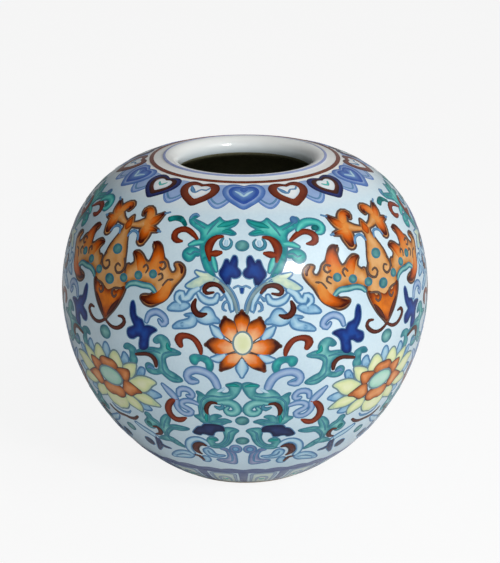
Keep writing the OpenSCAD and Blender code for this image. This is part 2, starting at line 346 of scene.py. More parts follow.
RIGHT_CURLS = (
    stroke("green_leaves", (19.0, 30.8, 0.8), (20.6, 32.1, 1.7), (22.8, 32.8, 1.9), (25.0, 32.8, 1.8),
           (27.0, 32.2, 1.7), (27.9, 31.0, 1.6), (27.1, 29.8, 1.4), (25.8, 29.6, 0.9)),
    dot("deep_green_commas", 25.3, 31.0, 1.4, 0.8, layer=Layer.OVER),
    dot("blue_outlines", 18.6, 33.8, 1.5, 1.2, layer=Layer.OVER),
)
COBALT_FLOWER = (
    patch("cobalt_flowers", (4.1, 17.0), (5.2, 17.6), (6.2, 18.7), (6.9, 19.5), (7.0, 20.4), (6.4, 21.3),
          (5.9, 22.3), (5.4, 23.4), (4.4, 23.4), (4.0, 22.7), (3.4, 23.6), (2.7, 24.5), (1.7, 24.2),
          (1.4, 23.0), (1.5, 21.7), (0.7, 21.0), (0.3, 20.1), (1.0, 19.2), (2.3, 18.9), (3.3, 19.1),
          (3.5, 18.0)),
    stroke("grey_outlines", (6.8, 17.8, 0.5), (4.6, 16.4, 1.0), (2.6, 14.4, 1.2), (1.7, 12.2, 1.1),
           (1.4, 10.6, 0.8)),
    stroke("blue_outlines", (4.2, 17.2, 0.4), (2.6, 15.5, 0.6), (1.2, 13.0, 0.6), (0.8, 11.2, 0.5),
           layer=Layer.OVER),
    stroke("pale_blue_leaves", (6.2, 16.4, 0.5), (4.6, 15.2, 0.8), (3.4, 13.4, 0.9), (2.9, 11.4, 0.7)),
    stroke("blue_outlines", (3.2, 10.6, 0.5), (3.5, 12.5, 0.7), (4.4, 13.2, 0.8), (5.4, 12.5, 0.8),
           (5.5, 11.3, 0.8), (4.6, 10.9, 0.5)),
    stroke("blue_outlines", (5.4, 14.4, 0.7), (6.2, 13.7, 1.1)),
)
SIDE_SPRAY = (
    patch("pale_green_leaves", (17.1, 16.1), (14.8, 17.8), (13.3, 18.5), (11.2, 19.8), (9.2, 19.2),
          (7.2, 18.4), (5.5, 16.9), (7.0, 17.4), (9.0, 17.9), (11.0, 17.4), (12.6, 16.4), (14.0, 16.0),
          (15.4, 15.7)),
    stroke("pale_green_leaves", (14.2, 19.8, 0.5), (12.8, 19.3, 1.1), (11.2, 19.2, 0.8)),
    stroke("pale_blue_leaves", (13.0, 14.7, 0.6), (11.7, 13.5, 1.2), (9.7, 12.9, 1.3), (7.9, 13.3, 1.2),
           (7.3, 14.5, 0.7)),
    stroke("dark_red_accents", (5.4, 15.5, 0.8), (6.6, 16.7, 1.1), (8.2, 17.2, 1.2), (10.2, 16.9, 1.5),
           (11.3, 15.8, 1.3), (10.6, 14.9, 1.0), (8.5, 15.2, 0.6), layer=Layer.OVER),
    stroke("pale_blue_leaves", (13.3, 15.8, 1.0), (15.1, 14.8, 1.3), (16.1, 13.4, 1.3), (17.6, 13.0, 1.2),
           (18.1, 14.2, 1.0), (19.4, 13.8, 1.0), (19.6, 12.6, 0.9), (18.5, 11.8, 0.7)),
    patch("pale_blue_leaves", (18.5, 11.7), (20.4, 11.5), (22.1, 9.9), (20.4, 9.8), (18.3, 10.0),
          (16.9, 10.5), (15.7, 11.4), (16.8, 12.0)),
    patch("pale_blue_leaves", (16.8, 8.9), (15.3, 9.0), (15.5, 8.1), (17.3, 7.4), (18.9, 6.8), (20.2, 5.5),
          (17.8, 5.7), (15.3, 6.1), (13.8, 6.8), (13.3, 8.2), (14.2, 9.4)),
    stroke("dark_red_accents", (13.8, 13.0, 0.8), (14.3, 11.8, 1.4), (14.1, 10.6, 1.6), (13.1, 9.6, 1.6),
           (11.7, 9.4, 1.4), (10.4, 9.8, 0.7), layer=Layer.OVER),
    patch("pale_blue_leaves", (11.5, 10.6), (10.8, 11.2), (9.5, 11.2), (8.5, 10.4), (7.8, 9.2), (6.8, 8.5),
          (6.8, 7.9), (8.2, 7.9), (10.2, 7.4), (12.3, 7.8), (13.5, 8.8), (12.4, 9.8)),
)
ORANGE_LOTUS = (
    stroke("orange_petals", (2.6, 4.2, 1.8), (3.4, 5.7, 3.6), (4.2, 7.1, 3.9), (4.7, 8.3, 2.6),
           (4.9, 9.1, 0.7), shade=Shade.PETAL),
    stroke("orange_petals", (2.6, 1.6, 1.8), (4.6, 1.7, 3.3), (6.4, 1.9, 4.1), (8.2, 2.1, 3.6),
           (9.5, 2.1, 2.0), (10.3, 2.0, 0.6), shade=Shade.PETAL),
    stroke("orange_petals", (0.9, -0.4, 1.5), (2.4, -1.2, 2.8), (3.9, -2.2, 3.2), (5.1, -3.3, 2.4),
           (6.0, -4.4, 0.7), shade=Shade.PETAL),
    stroke("pale_blue_leaves", (6.0, 4.3, 1.2), (7.3, 5.5, 1.9), (8.7, 6.8, 0.5)),
    stroke("pale_blue_leaves", (5.2, -0.5, 1.0), (6.8, -1.4, 1.8), (8.5, -1.5, 0.5)),
)
LOTUS_SCROLL = (
    stroke("iron_red_curls", (17.9, 1.2, 1.6), (18.5, 2.4, 2.3), (17.9, 3.4, 2.0), (16.2, 3.8, 1.5),
           (14.2, 3.4, 1.5), (12.8, 2.2, 1.6), (12.0, 0.8, 1.5), (11.8, -0.3, 1.0)),
    patch("green_leaves", (13.8, -1.0), (11.8, -1.0), (10.2, -1.2), (9.0, -1.9), (8.4, -3.1), (8.6, -4.3),
          (9.2, -5.0), (10.0, -4.4), (10.4, -2.9), (11.8, -2.2), (12.8, -2.6), (13.3, -3.4), (14.3, -3.3),
          (14.9, -2.5), (14.9, -1.6)),
    stroke("lavender_scrolls", (7.2, -9.3, 1.5), (8.1, -7.3, 1.7), (9.6, -5.9, 1.7), (11.6, -5.2, 1.7),
           (13.8, -5.1, 1.7), (15.6, -5.9, 1.7), (16.3, -7.2, 1.5), (15.4, -8.5, 1.4), (13.4, -8.3, 0.9)),
    stroke("blue_outlines", (15.0, -7.2, 0.6), (14.0, -7.6, 0.9), (13.0, -7.9, 0.5), layer=Layer.OVER),
)
LOWER_LEAF = (
    patch("lower_leaves", (0.1, -8.4), (1.6, -7.9), (3.1, -8.2), (4.6, -8.7), (3.8, -9.4), (3.5, -10.3),
          (4.2, -11.1), (5.8, -11.2), (6.6, -10.3), (6.9, -9.8), (8.7, -10.3), (10.2, -11.5), (11.0, -12.4),
          (12.3, -11.7), (13.6, -11.3), (13.1, -12.4), (13.4, -13.5), (13.4, -15.4), (13.3, -17.4),
          (13.5, -18.8), (15.1, -19.3), (13.8, -20.3), (12.8, -21.2), (10.8, -21.3), (10.4, -19.8),
          (10.6, -18.4), (11.4, -17.6), (11.6, -16.4), (11.1, -14.9), (10.0, -13.8), (8.2, -13.8),
          (6.6, -13.6), (5.0, -13.2), (4.1, -13.1), (2.4, -12.4), (1.1, -10.9), (0.4, -9.5)),
    stroke("deep_green_commas", (4.2, -8.7, 0.5), (2.4, -8.6, 1.0), (1.0, -8.9, 0.5), layer=Layer.OVER),
    stroke("teal_outlines", (12.2, -19.8, 0.4), (12.6, -16.6, 0.6), (12.2, -13.8, 0.6), (9.6, -12.3, 0.6),
           (6.6, -12.3, 0.5), (3.6, -11.8, 0.4), layer=Layer.OVER),
    stroke("deep_green_commas", (11.4, -20.6, 0.7), (11.4, -19.4, 1.1), (11.2, -18.4, 0.6),
           layer=Layer.OVER),
    stroke("pale_blue_leaves", (7.4, -10.9, 0.5), (6.0, -10.2, 0.9), (5.2, -9.6, 0.5), edged=False),
    stroke("lower_leaves", (7.4, -14.2, 0.8), (5.4, -14.0, 1.5), (3.4, -14.1, 1.8), (1.9, -15.1, 1.9),
           (1.5, -16.4, 1.9), (2.6, -17.4, 1.8), (4.2, -17.3, 1.5), (5.0, -16.3, 1.0), (4.4, -15.6, 0.6)),
    stroke("teal_outlines", (8.2, -15.5, 0.7), (6.9, -16.0, 1.4), (5.9, -15.4, 1.2), (6.2, -14.6, 0.6),
           layer=Layer.OVER),
    stroke("dark_red_accents", (7.8, -14.4, 0.7), (9.3, -14.3, 1.1), (10.5, -15.2, 1.3), (11.1, -16.6, 1.3),
           (10.9, -18.0, 0.8), layer=Layer.OVER),
    patch("lower_leaves", (10.6, -21.2), (10.4, -19.8), (9.4, -18.6), (7.8, -18.2), (6.6, -18.6),
          (7.8, -19.2), (8.2, -20.0), (6.8, -19.7), (5.2, -19.6), (3.5, -20.3), (4.8, -20.7), (6.0, -21.3),
          (8.0, -21.6)),
    stroke("teal_outlines", (9.6, -20.6, 0.5), (7.6, -20.6, 0.6), (5.2, -20.3, 0.4), layer=Layer.OVER),
)
SIDE_SCROLL = (
    stroke("lavender_scrolls", (19.4, -13.0, 0.9), (19.2, -11.7, 1.1), (17.8, -11.0, 1.2),
           (16.0, -11.2, 1.2), (15.0, -12.3, 1.1), (15.4, -13.2, 1.0), (16.6, -13.0, 0.6)),
    stroke("lavender_scrolls", (13.6, -15.2, 0.6), (15.6, -14.6, 1.0), (17.6, -14.7, 1.1),
           (18.9, -15.5, 1.1), (18.6, -16.5, 1.1), (17.2, -17.1, 1.1), (15.9, -17.9, 1.1),
           (16.6, -18.9, 1.1), (18.3, -19.1, 1.1), (19.9, -18.2, 1.1), (20.7, -16.8, 1.1),
           (20.4, -15.2, 1.2), (21.1, -13.9, 1.5), (22.5, -12.5, 1.5), (24.4, -10.8, 0.5)),
    stroke("iron_red_curls", (20.6, -14.8, 1.0), (22.1, -15.5, 1.7), (23.4, -17.0, 1.9), (23.9, -18.7, 2.0),
           (23.4, -20.4, 2.0), (21.9, -21.6, 2.0), (20.2, -21.5, 1.8), (19.0, -20.9, 1.3),
           (18.2, -20.5, 0.7)),
)
LOWER_FLOWER = (
    patch("navy_flowers", (16.8, -25.6), (15.8, -24.2), (14.6, -23.1), (13.3, -22.8), (12.5, -21.9),
          (10.2, -21.6), (8.2, -21.6), (6.7, -21.9), (5.9, -22.7), (5.7, -23.9), (6.2, -24.1), (7.7, -24.1),
          (8.7, -24.4), (9.4, -25.1), (9.8, -26.0), (11.2, -26.1), (12.3, -25.8), (13.6, -25.8),
          (14.3, -26.3), (15.8, -26.2)),
    patch("lower_leaves", (1.4, -23.6), (2.4, -22.9), (4.0, -22.6), (5.6, -22.8), (6.0, -24.2),
          (5.8, -26.0), (6.3, -27.6), (7.4, -28.9), (8.8, -29.5), (10.0, -29.1), (9.6, -28.3), (8.6, -27.8),
          (9.2, -26.9), (10.6, -26.6), (11.8, -27.4), (12.3, -28.8), (12.0, -30.4), (10.6, -31.2),
          (8.4, -31.1), (6.6, -30.5), (4.9, -29.3), (3.6, -27.4), (2.9, -25.4), (2.2, -24.4)),
    stroke("teal_outlines", (3.0, -23.5, 0.4), (4.4, -24.4, 0.6), (4.7, -26.6, 0.7), (6.0, -28.8, 0.7),
           (8.2, -30.3, 0.6), (10.4, -30.2, 0.5), layer=Layer.OVER),
    stroke("deep_green_commas", (11.2, -27.6, 0.7), (9.8, -27.5, 1.0), (8.8, -27.8, 0.6), layer=Layer.OVER),
)
BASE_SCROLL = (
    dot("purple_scrolls", 2.5, -31.3, 1.9, 1.6),
    dot("pale_blue_leaves", 2.5, -31.3, 0.8, 0.7, layer=Layer.OVER),
    patch("purple_scrolls", (4.6, -32.4), (3.0, -33.4), (2.5, -36.0), (2.7, -38.8), (4.6, -39.0),
          (7.0, -38.5), (9.2, -38.0), (10.0, -37.2), (8.6, -36.7), (6.4, -36.4), (5.5, -35.4), (5.4, -33.8),
          (6.2, -32.2), (7.8, -31.6), (6.2, -31.2)),
    stroke("blue_outlines", (5.4, -32.2, 0.3), (4.2, -33.8, 0.6), (4.0, -36.2, 0.6), (4.6, -37.6, 0.6),
           (7.8, -37.5, 0.4), layer=Layer.OVER),
    stroke("pale_blue_leaves", (12.2, -30.4, 0.8), (13.4, -28.9, 1.1), (15.3, -28.2, 1.3),
           (17.3, -28.6, 1.4), (19.1, -29.9, 1.4), (20.0, -31.7, 1.4), (20.2, -33.6, 1.2),
           (19.4, -35.2, 0.9)),
    patch("pale_blue_leaves", (14.2, -32.6), (12.6, -31.9), (11.3, -32.7), (10.6, -34.1), (9.2, -34.7),
          (6.9, -34.8), (9.0, -35.6), (11.2, -35.9), (13.2, -35.4), (14.3, -34.0)),
    stroke("blue_outlines", (12.9, -33.0, 0.5), (12.2, -34.4, 0.7), (9.6, -35.1, 0.4), layer=Layer.OVER),
    patch("pale_blue_leaves", (15.2, -36.2), (13.6, -36.5), (13.2, -37.8), (14.2, -38.9), (16.0, -38.8),
          (15.8, -37.4)),
    stroke("dark_red_accents", (13.4, -30.6, 0.9), (14.6, -30.2, 1.6), (16.0, -30.5, 2.0),
           (17.1, -31.6, 2.0), (17.5, -33.0, 1.9), (17.0, -34.2, 1.5), (15.9, -35.0, 0.7),
           layer=Layer.OVER),
    stroke("dark_red_accents", (18.7, -36.2, 0.7), (17.2, -36.4, 1.1), (16.4, -37.4, 1.1),
           (15.8, -38.4, 0.6), layer=Layer.OVER),
    patch("pale_blue_leaves", (19.6, -36.4), (21.0, -35.2), (23.0, -35.0), (25.4, -35.6), (27.6, -36.8),
          (29.8, -38.6), (30.4, -39.8), (27.6, -39.4), (24.6, -38.8), (21.6, -38.2)),
    stroke("blue_outlines", (21.0, -36.8, 0.4), (24.0, -36.8, 0.7), (27.8, -38.3, 0.4), layer=Layer.OVER),
)
SIDE_LEAF = (
    patch("lower_leaves", (18.0, -1.0), (20.0, -0.3), (21.4, -0.1), (21.3, 0.9), (21.9, 2.1), (23.3, 2.8),
          (24.7, 2.7), (26.0, 1.8), (26.4, 1.0), (25.5, 0.7), (24.6, 1.0), (24.1, 0.7), (24.0, -0.2),
          (24.7, -0.8), (26.7, -0.9), (28.6, -1.2), (30.5, -1.8), (32.6, -3.0), (30.5, -2.6), (28.1, -2.4),
          (26.2, -2.8), (25.1, -4.0), (24.9, -5.6), (25.3, -6.6), (26.7, -6.8), (27.2, -5.8), (28.3, -5.4),
          (29.3, -5.8), (29.5, -6.7), (28.8, -7.8), (27.1, -8.1), (25.5, -7.8), (24.3, -7.4), (23.3, -8.0),
          (21.4, -9.1), (19.5, -9.2), (17.8, -8.6), (19.0, -7.6), (20.4, -6.9), (21.9, -6.3), (22.6, -5.0),
          (22.9, -3.4), (22.4, -2.6), (20.9, -1.9), (19.0, -1.5)),
    stroke("teal_outlines", (18.8, -1.1, 0.3), (21.6, -1.2, 0.5), (23.6, -2.3, 0.5), (23.8, -4.6, 0.5),
           (23.6, -6.6, 0.5), (21.4, -8.0, 0.4), (19.0, -8.5, 0.3), layer=Layer.OVER),
    stroke("teal_outlines", (24.4, -1.9, 0.4), (27.0, -1.7, 0.5), (30.0, -2.2, 0.3), layer=Layer.OVER),
    stroke("deep_green_commas", (20.8, -0.6, 0.6), (21.8, 0.0, 1.3), (22.0, 1.0, 0.6), layer=Layer.OVER),
    stroke("blue_outlines", (27.0, -6.6, 0.7), (28.2, -6.2, 1.2), (28.9, -6.6, 0.6), layer=Layer.OVER),
    patch("lower_leaves", (32.9, -2.4), (33.8, -1.8), (35.3, -1.5), (36.5, -1.8), (37.2, -2.7),
          (36.5, -2.9), (35.4, -2.8), (34.9, -3.5), (34.9, -4.8), (35.2, -6.0), (34.3, -6.7), (33.2, -6.5),
          (32.6, -5.3), (32.9, -4.5), (33.5, -3.9), (33.2, -3.1)),
    stroke("dark_red_accents", (32.7, -3.7, 0.8), (31.0, -3.3, 1.0), (29.0, -2.9, 1.1), (27.2, -3.2, 1.3),
           (26.1, -4.3, 1.5), (26.0, -5.7, 1.0), layer=Layer.OVER),
)
SIDE_FLEUR = (
    patch("cobalt_flowers", (25.4, 4.0), (26.8, 4.6), (28.6, 4.7), (29.6, 4.5), (30.4, 5.8), (32.6, 6.6),
          (33.2, 8.6), (34.0, 10.0), (34.9, 9.6), (35.1, 8.0), (34.8, 6.2), (34.0, 4.8), (33.4, 3.9),
          (34.6, 3.2), (35.6, 2.6), (35.8, 1.2), (35.0, 0.3), (33.4, 0.4), (32.2, 1.2), (31.2, 1.2),
          (31.5, -0.8), (31.2, -2.0), (29.8, -2.0), (28.4, -1.2), (28.2, 0.2), (27.9, 1.8), (27.0, 2.9)),
    stroke("lavender_scrolls", (29.0, 5.8, 0.8), (28.2, 7.6, 1.2), (25.9, 8.6, 1.3), (23.5, 7.9, 1.3),
           (22.6, 6.5, 1.2), (23.8, 5.7, 0.9), (24.8, 6.6, 0.5)),
)
LOWER_SIDE_LEAF = (
    patch("lower_leaves", (18.0, -24.5), (20.0, -24.1), (22.8, -24.0), (25.2, -24.5), (24.9, -23.4),
          (24.2, -22.0), (24.6, -20.7), (25.9, -21.1), (27.4, -22.5), (28.1, -23.8), (28.4, -25.2),
          (29.6, -24.0), (31.2, -23.2), (31.9, -22.0), (33.0, -21.7), (33.8, -22.5), (33.3, -23.5),
          (34.2, -24.6), (35.2, -25.6), (34.6, -27.0), (33.2, -27.5), (31.8, -27.0), (31.0, -26.0),
          (29.6, -26.0), (28.8, -27.4), (28.4, -29.2), (30.2, -30.2), (31.8, -31.4), (29.6, -31.6),
          (27.0, -31.4), (24.4, -32.6), (21.8, -33.0), (23.4, -31.2), (25.4, -29.8), (27.0, -29.2),
          (26.4, -27.8), (25.2, -26.6), (23.8, -25.7), (21.4, -25.6), (19.4, -25.2)),
    stroke("teal_outlines", (18.8, -24.8, 0.3), (22.4, -24.9, 0.5), (25.4, -25.6, 0.5), (27.4, -28.0, 0.5),
           (27.0, -30.4, 0.5), (24.2, -31.9, 0.3), layer=Layer.OVER),
    stroke("teal_outlines", (25.0, -21.6, 0.3), (26.5, -23.6, 0.5), (27.8, -26.2, 0.4), layer=Layer.OVER),
    stroke("teal_outlines", (29.0, -25.4, 0.4), (31.4, -24.1, 0.5), (33.0, -22.4, 0.3), layer=Layer.OVER),
    dot("deep_green_commas", 33.4, -25.8, 1.1, 1.0, layer=Layer.OVER),
    stroke("dark_red_accents", (32.2, -26.7, 0.7), (30.8, -26.5, 1.1), (29.8, -27.4, 1.5),
           (30.0, -28.6, 1.4), (31.0, -29.4, 1.0), (32.4, -29.8, 0.6), layer=Layer.OVER),
    stroke("pale_blue_leaves", (33.0, -31.2, 1.2), (34.8, -30.2, 1.5), (37.4, -29.2, 1.5),
           (40.2, -27.6, 0.6)),
    stroke("navy_flowers", (33.2, -31.2, 1.1), (33.2, -33.0, 1.6), (34.0, -35.2, 1.8), (36.2, -38.0, 0.7)),
    stroke("navy_flowers", (29.4, -35.4, 0.6), (31.4, -35.2, 1.2), (33.2, -34.4, 1.3)),
    dot("navy_flowers", 38.6, -34.8, 2.0, 1.7),
    stroke("dark_red_accents", (38.0, -24.6, 0.8), (39.8, -25.8, 1.1), (42.2, -26.4, 1.1),
           (44.8, -26.3, 1.0)),
    stroke("blue_outlines", (40.4, -23.2, 0.5), (42.0, -24.4, 0.8), (44.8, -24.8, 0.8)),
)
YELLOW_LOTUS = (
    patch("pale_blue_leaves", (30.3, -7.5), (31.4, -7.3), (32.4, -8.3), (33.2, -9.9), (31.4, -9.7),
          (30.7, -8.9), layer=Layer.LINE),
    patch("pale_blue_leaves", (36.2, -5.0), (37.4, -4.3), (38.1, -5.4), (38.9, -7.2), (37.4, -7.6),
          (36.1, -6.4), layer=Layer.LINE),
    patch("pale_blue_leaves", (25.7, -14.6), (27.1, -13.8), (29.2, -13.5), (30.7, -14.4), (30.0, -15.7),
          (28.1, -15.7), (26.7, -15.1), layer=Layer.LINE),
    patch("pale_blue_leaves", (30.5, -20.1), (31.4, -19.2), (33.1, -18.4), (34.3, -19.3), (33.3, -20.6),
          (31.6, -20.5), layer=Layer.LINE),
    patch("yellow_lotus", (26.7, -10.8), (28.1, -10.0), (30.5, -9.7), (32.9, -10.1), (34.8, -11.1),
          (36.8, -12.4), (36.4, -13.2), (34.6, -13.9), (32.7, -14.7), (31.0, -14.3), (29.5, -13.3),
          (28.3, -12.0), layer=Layer.OVER),
    patch("yellow_lotus", (26.6, -18.1), (27.9, -17.0), (29.5, -15.8), (31.4, -15.2), (33.3, -15.4),
          (35.8, -16.1), (36.2, -17.1), (33.3, -18.3), (31.0, -18.5), (28.6, -18.4), layer=Layer.OVER),
    patch("yellow_lotus", (34.5, -21.7), (34.1, -19.9), (35.4, -18.3), (37.6, -17.3), (39.8, -17.6),
          (40.1, -19.0), (39.3, -20.4), (37.2, -21.1), (35.5, -21.7), layer=Layer.OVER),
    patch("yellow_lotus", (33.2, -6.7), (33.5, -8.0), (33.9, -9.3), (34.8, -10.5), (36.0, -11.2),
          (36.8, -9.8), (38.4, -8.6), (37.4, -7.7), (35.3, -6.9), layer=Layer.OVER),
    patch("yellow_lotus", (38.6, -8.2), (39.1, -6.8), (40.0, -5.2), (41.2, -4.7), (42.4, -5.2),
          (43.6, -6.5), (43.9, -7.3), (42.4, -8.3), (40.8, -9.3), (39.3, -9.2), layer=Layer.OVER),
    patch("rust_petals", (36.4, -9.1), (38.1, -9.1), (40.0, -9.4), (41.7, -10.0), (40.0, -11.4),
          (39.1, -12.6), (37.6, -12.6), (36.7, -11.4), (36.2, -10.2), layer=Layer.TOP),
    patch("rust_petals", (32.7, -15.0), (34.3, -14.0), (35.9, -13.2), (37.6, -12.7), (39.1, -13.0),
          (39.7, -14.4), (40.3, -16.0), (39.1, -16.9), (37.5, -17.2), (36.0, -16.4), (34.8, -15.7),
          layer=Layer.TOP),
)
BAT_WING = (
    patch("bats", (38.8, 18.4), (37.6, 18.4), (36.2, 19.6), (36.8, 21.0), (37.4, 21.8), (35.8, 22.4),
          (33.8, 21.7), (32.2, 20.6), (30.8, 20.4), (30.0, 22.0), (30.0, 23.6), (30.9, 24.9), (29.6, 25.6),
          (28.0, 25.0), (26.8, 23.4), (25.8, 22.0), (24.4, 21.2), (23.6, 19.9), (22.4, 18.8), (21.2, 19.0),
          (20.8, 20.0), (21.6, 21.1), (20.0, 21.4), (18.4, 20.5), (18.2, 19.0), (19.2, 17.5), (20.8, 15.8),
          (22.0, 13.9), (23.4, 12.2), (25.4, 11.0), (27.8, 9.9), (30.2, 10.2), (31.6, 11.5), (30.2, 12.2),
          (28.4, 12.4), (27.4, 13.4), (27.8, 14.7), (29.8, 15.3), (32.4, 15.4), (34.8, 15.1), (37.2, 14.4),
          (38.8, 14.2)),
    stroke("bats", (43.0, 28.5, 1.1), (40.9, 28.9, 1.6), (38.5, 29.6, 2.6), (36.4, 30.4, 3.4),
           (34.2, 31.5, 2.6), (32.2, 33.4, 0.7)),
    stroke("bats", (36.6, 31.0, 2.8), (38.0, 32.9, 2.4), (39.6, 33.7, 2.0), (40.9, 33.2, 1.6),
           (40.8, 32.2, 0.9)),
    stroke("bats", (36.4, 29.2, 3.6), (36.2, 27.0, 3.4), (36.4, 25.2, 2.4)),
    stroke("bats", (36.2, 28.6, 1.8), (34.0, 28.7, 1.6), (31.8, 28.6, 0.7)),
    stroke("bat_tips", (37.0, 30.2, 2.2), (34.4, 31.4, 2.0), (32.2, 33.4, 0.7), layer=Layer.OVER,
           shade=Shade.PETAL),
    stroke("bat_tips", (37.2, 31.8, 1.8), (38.4, 33.1, 1.9), (39.7, 33.6, 1.7), (40.8, 33.0, 1.4),
           (40.7, 32.2, 0.8), layer=Layer.OVER, shade=Shade.PETAL),
    stroke("bat_tips", (36.4, 29.0, 2.4), (36.2, 27.0, 2.7), (36.4, 25.3, 1.9), layer=Layer.OVER,
           shade=Shade.PETAL),
    stroke("bat_tips", (36.4, 28.6, 1.0), (34.0, 28.7, 1.2), (31.9, 28.6, 0.6), layer=Layer.OVER,
           shade=Shade.PETAL),
    stroke("bat_tips", (28.4, 18.8, 3.4), (27.9, 21.4, 3.4), (28.4, 23.6, 2.8), (29.6, 25.1, 1.7),
           (31.1, 25.5, 0.6), layer=Layer.OVER, shade=Shade.PETAL),
    stroke("bat_tips", (33.0, 18.4, 2.6), (34.2, 20.2, 2.4), (35.6, 21.4, 1.7), (37.4, 21.9, 0.6),
           layer=Layer.OVER, shade=Shade.PETAL),
    stroke("bat_tips", (23.0, 15.8, 2.2), (24.0, 13.4, 2.9), (26.2, 12.0, 2.6), (28.8, 11.2, 2.3),
           (31.0, 11.3, 1.1), layer=Layer.OVER, shade=Shade.PETAL),
    stroke("blue_outlines", (31.8, 33.6, 0.6), (29.8, 34.3, 0.6)),
    stroke("blue_outlines", (31.4, 28.6, 0.8), (30.2, 28.5, 0.6)),
    stroke("blue_outlines", (38.0, 25.2, 0.6), (38.8, 26.5, 0.8), (40.4, 27.1, 0.8), (42.0, 26.8, 0.8),
           (42.8, 25.4, 0.6)),
    stroke("brown_outlines", (21.6, 17.2, 0.5), (23.2, 16.8, 0.7), (24.6, 15.4, 0.5), layer=Layer.OVER),
    stroke("turquoise_spots", (27.0, 13.5, 0.7), (28.8, 14.5, 1.0), (31.6, 14.4, 1.0), (34.2, 14.5, 1.0),
           (36.4, 13.9, 0.9), (37.4, 13.0, 0.5), layer=Layer.OVER),
    dot("turquoise_spots", 28.5, 17.7, 1.1, 0.85, layer=Layer.TOP),
    dot("turquoise_spots", 33.7, 16.6, 1.15, 0.85, layer=Layer.TOP),
    dot("turquoise_spots", 39.2, 15.0, 1.2, 0.85, layer=Layer.OVER),
    stroke("dark_red_accents", (20.2, 21.1, 0.5), (19.1, 20.3, 0.9), (19.0, 19.2, 0.6), layer=Layer.OVER),
    stroke("brown_outlines", (31.2, 17.6, 0.4), (30.6, 18.8, 0.6), (31.6, 19.6, 0.6), (32.4, 18.8, 0.5),
           layer=Layer.TOP),
    stroke("brown_outlines", (26.2, 16.4, 0.4), (25.0, 17.2, 0.6), (25.6, 18.2, 0.6), (26.6, 17.8, 0.4),
           layer=Layer.TOP),
    stroke("brown_outlines", (26.8, 20.8, 0.6), (25.4, 21.1, 0.6), (24.6, 20.1, 0.6), (25.6, 19.2, 0.6),
           (26.6, 19.6, 0.5), layer=Layer.TOP),
    stroke("brown_outlines", (40.6, 19.6, 0.6), (39.6, 18.0, 0.7), (40.4, 16.3, 0.7), (42.4, 15.7, 0.7),
           (43.6, 16.9, 0.7), (42.8, 18.0, 0.6), (41.6, 17.6, 0.5), layer=Layer.TOP),
    stroke("brown_outlines", (39.4, 12.2, 0.5), (41.0, 12.0, 0.7), (42.6, 11.5, 0.8), (43.0, 10.3, 0.8),
           (41.9, 9.5, 0.7), (41.0, 10.3, 0.5), layer=Layer.TOP),
    stroke("dark_red_accents", (44.8, 2.9, 0.8), (42.4, 1.8, 1.0), (40.0, 1.8, 1.1), (38.0, 2.8, 1.2),
           (37.0, 4.1, 1.2), (37.8, 5.2, 1.0), (39.4, 5.1, 0.6)),
)
EIGHTH = (*UPPER_LEAF, *UPPER_CURLS, *COBALT_FLOWER, *SIDE_SPRAY, *ORANGE_LOTUS, *LOTUS_SCROLL, *LOWER_LEAF,
          *SIDE_SCROLL, *LOWER_FLOWER, *BASE_SCROLL, *SIDE_LEAF, *SIDE_FLEUR, *LOWER_SIDE_LEAF, *YELLOW_LOTUS,
          *BAT_WING)

# What lies on a lotus axis, with turn 0 on it
LOTUS_MIDDLE = (
    stroke("orange_petals", (0.0, 5.4, 1.6), (0.0, 7.2, 2.7), (0.0, 8.8, 3.5), (0.0, 10.0, 2.6),
           (0.0, 10.8, 0.7), shade=Shade.PETAL),
    stroke("pale_blue_leaves", (0.0, -1.6, 0.9), (0.0, -3.8, 2.6), (0.0, -6.0, 0.5)),
    dot("lotus_middles", 0.2, 2.9, 2.4, 2.7, layer=Layer.OVER),
    dot("turquoise_spots", 0.0, 27.1, 2.0, 1.2),
    dot("turquoise_spots", 0.0, -19.9, 1.9, 1.3),
    dot("turquoise_spots", 0.0, -27.6, 2.0, 1.3),
    arched("blue_outlines", (-2.4, 16.6, 0.6), (-1.2, 17.1, 0.6), (0.0, 16.7, 0.7)),
    stroke("cobalt_flowers", (0.0, 16.4, 0.9), (0.0, 15.6, 0.6)),
)

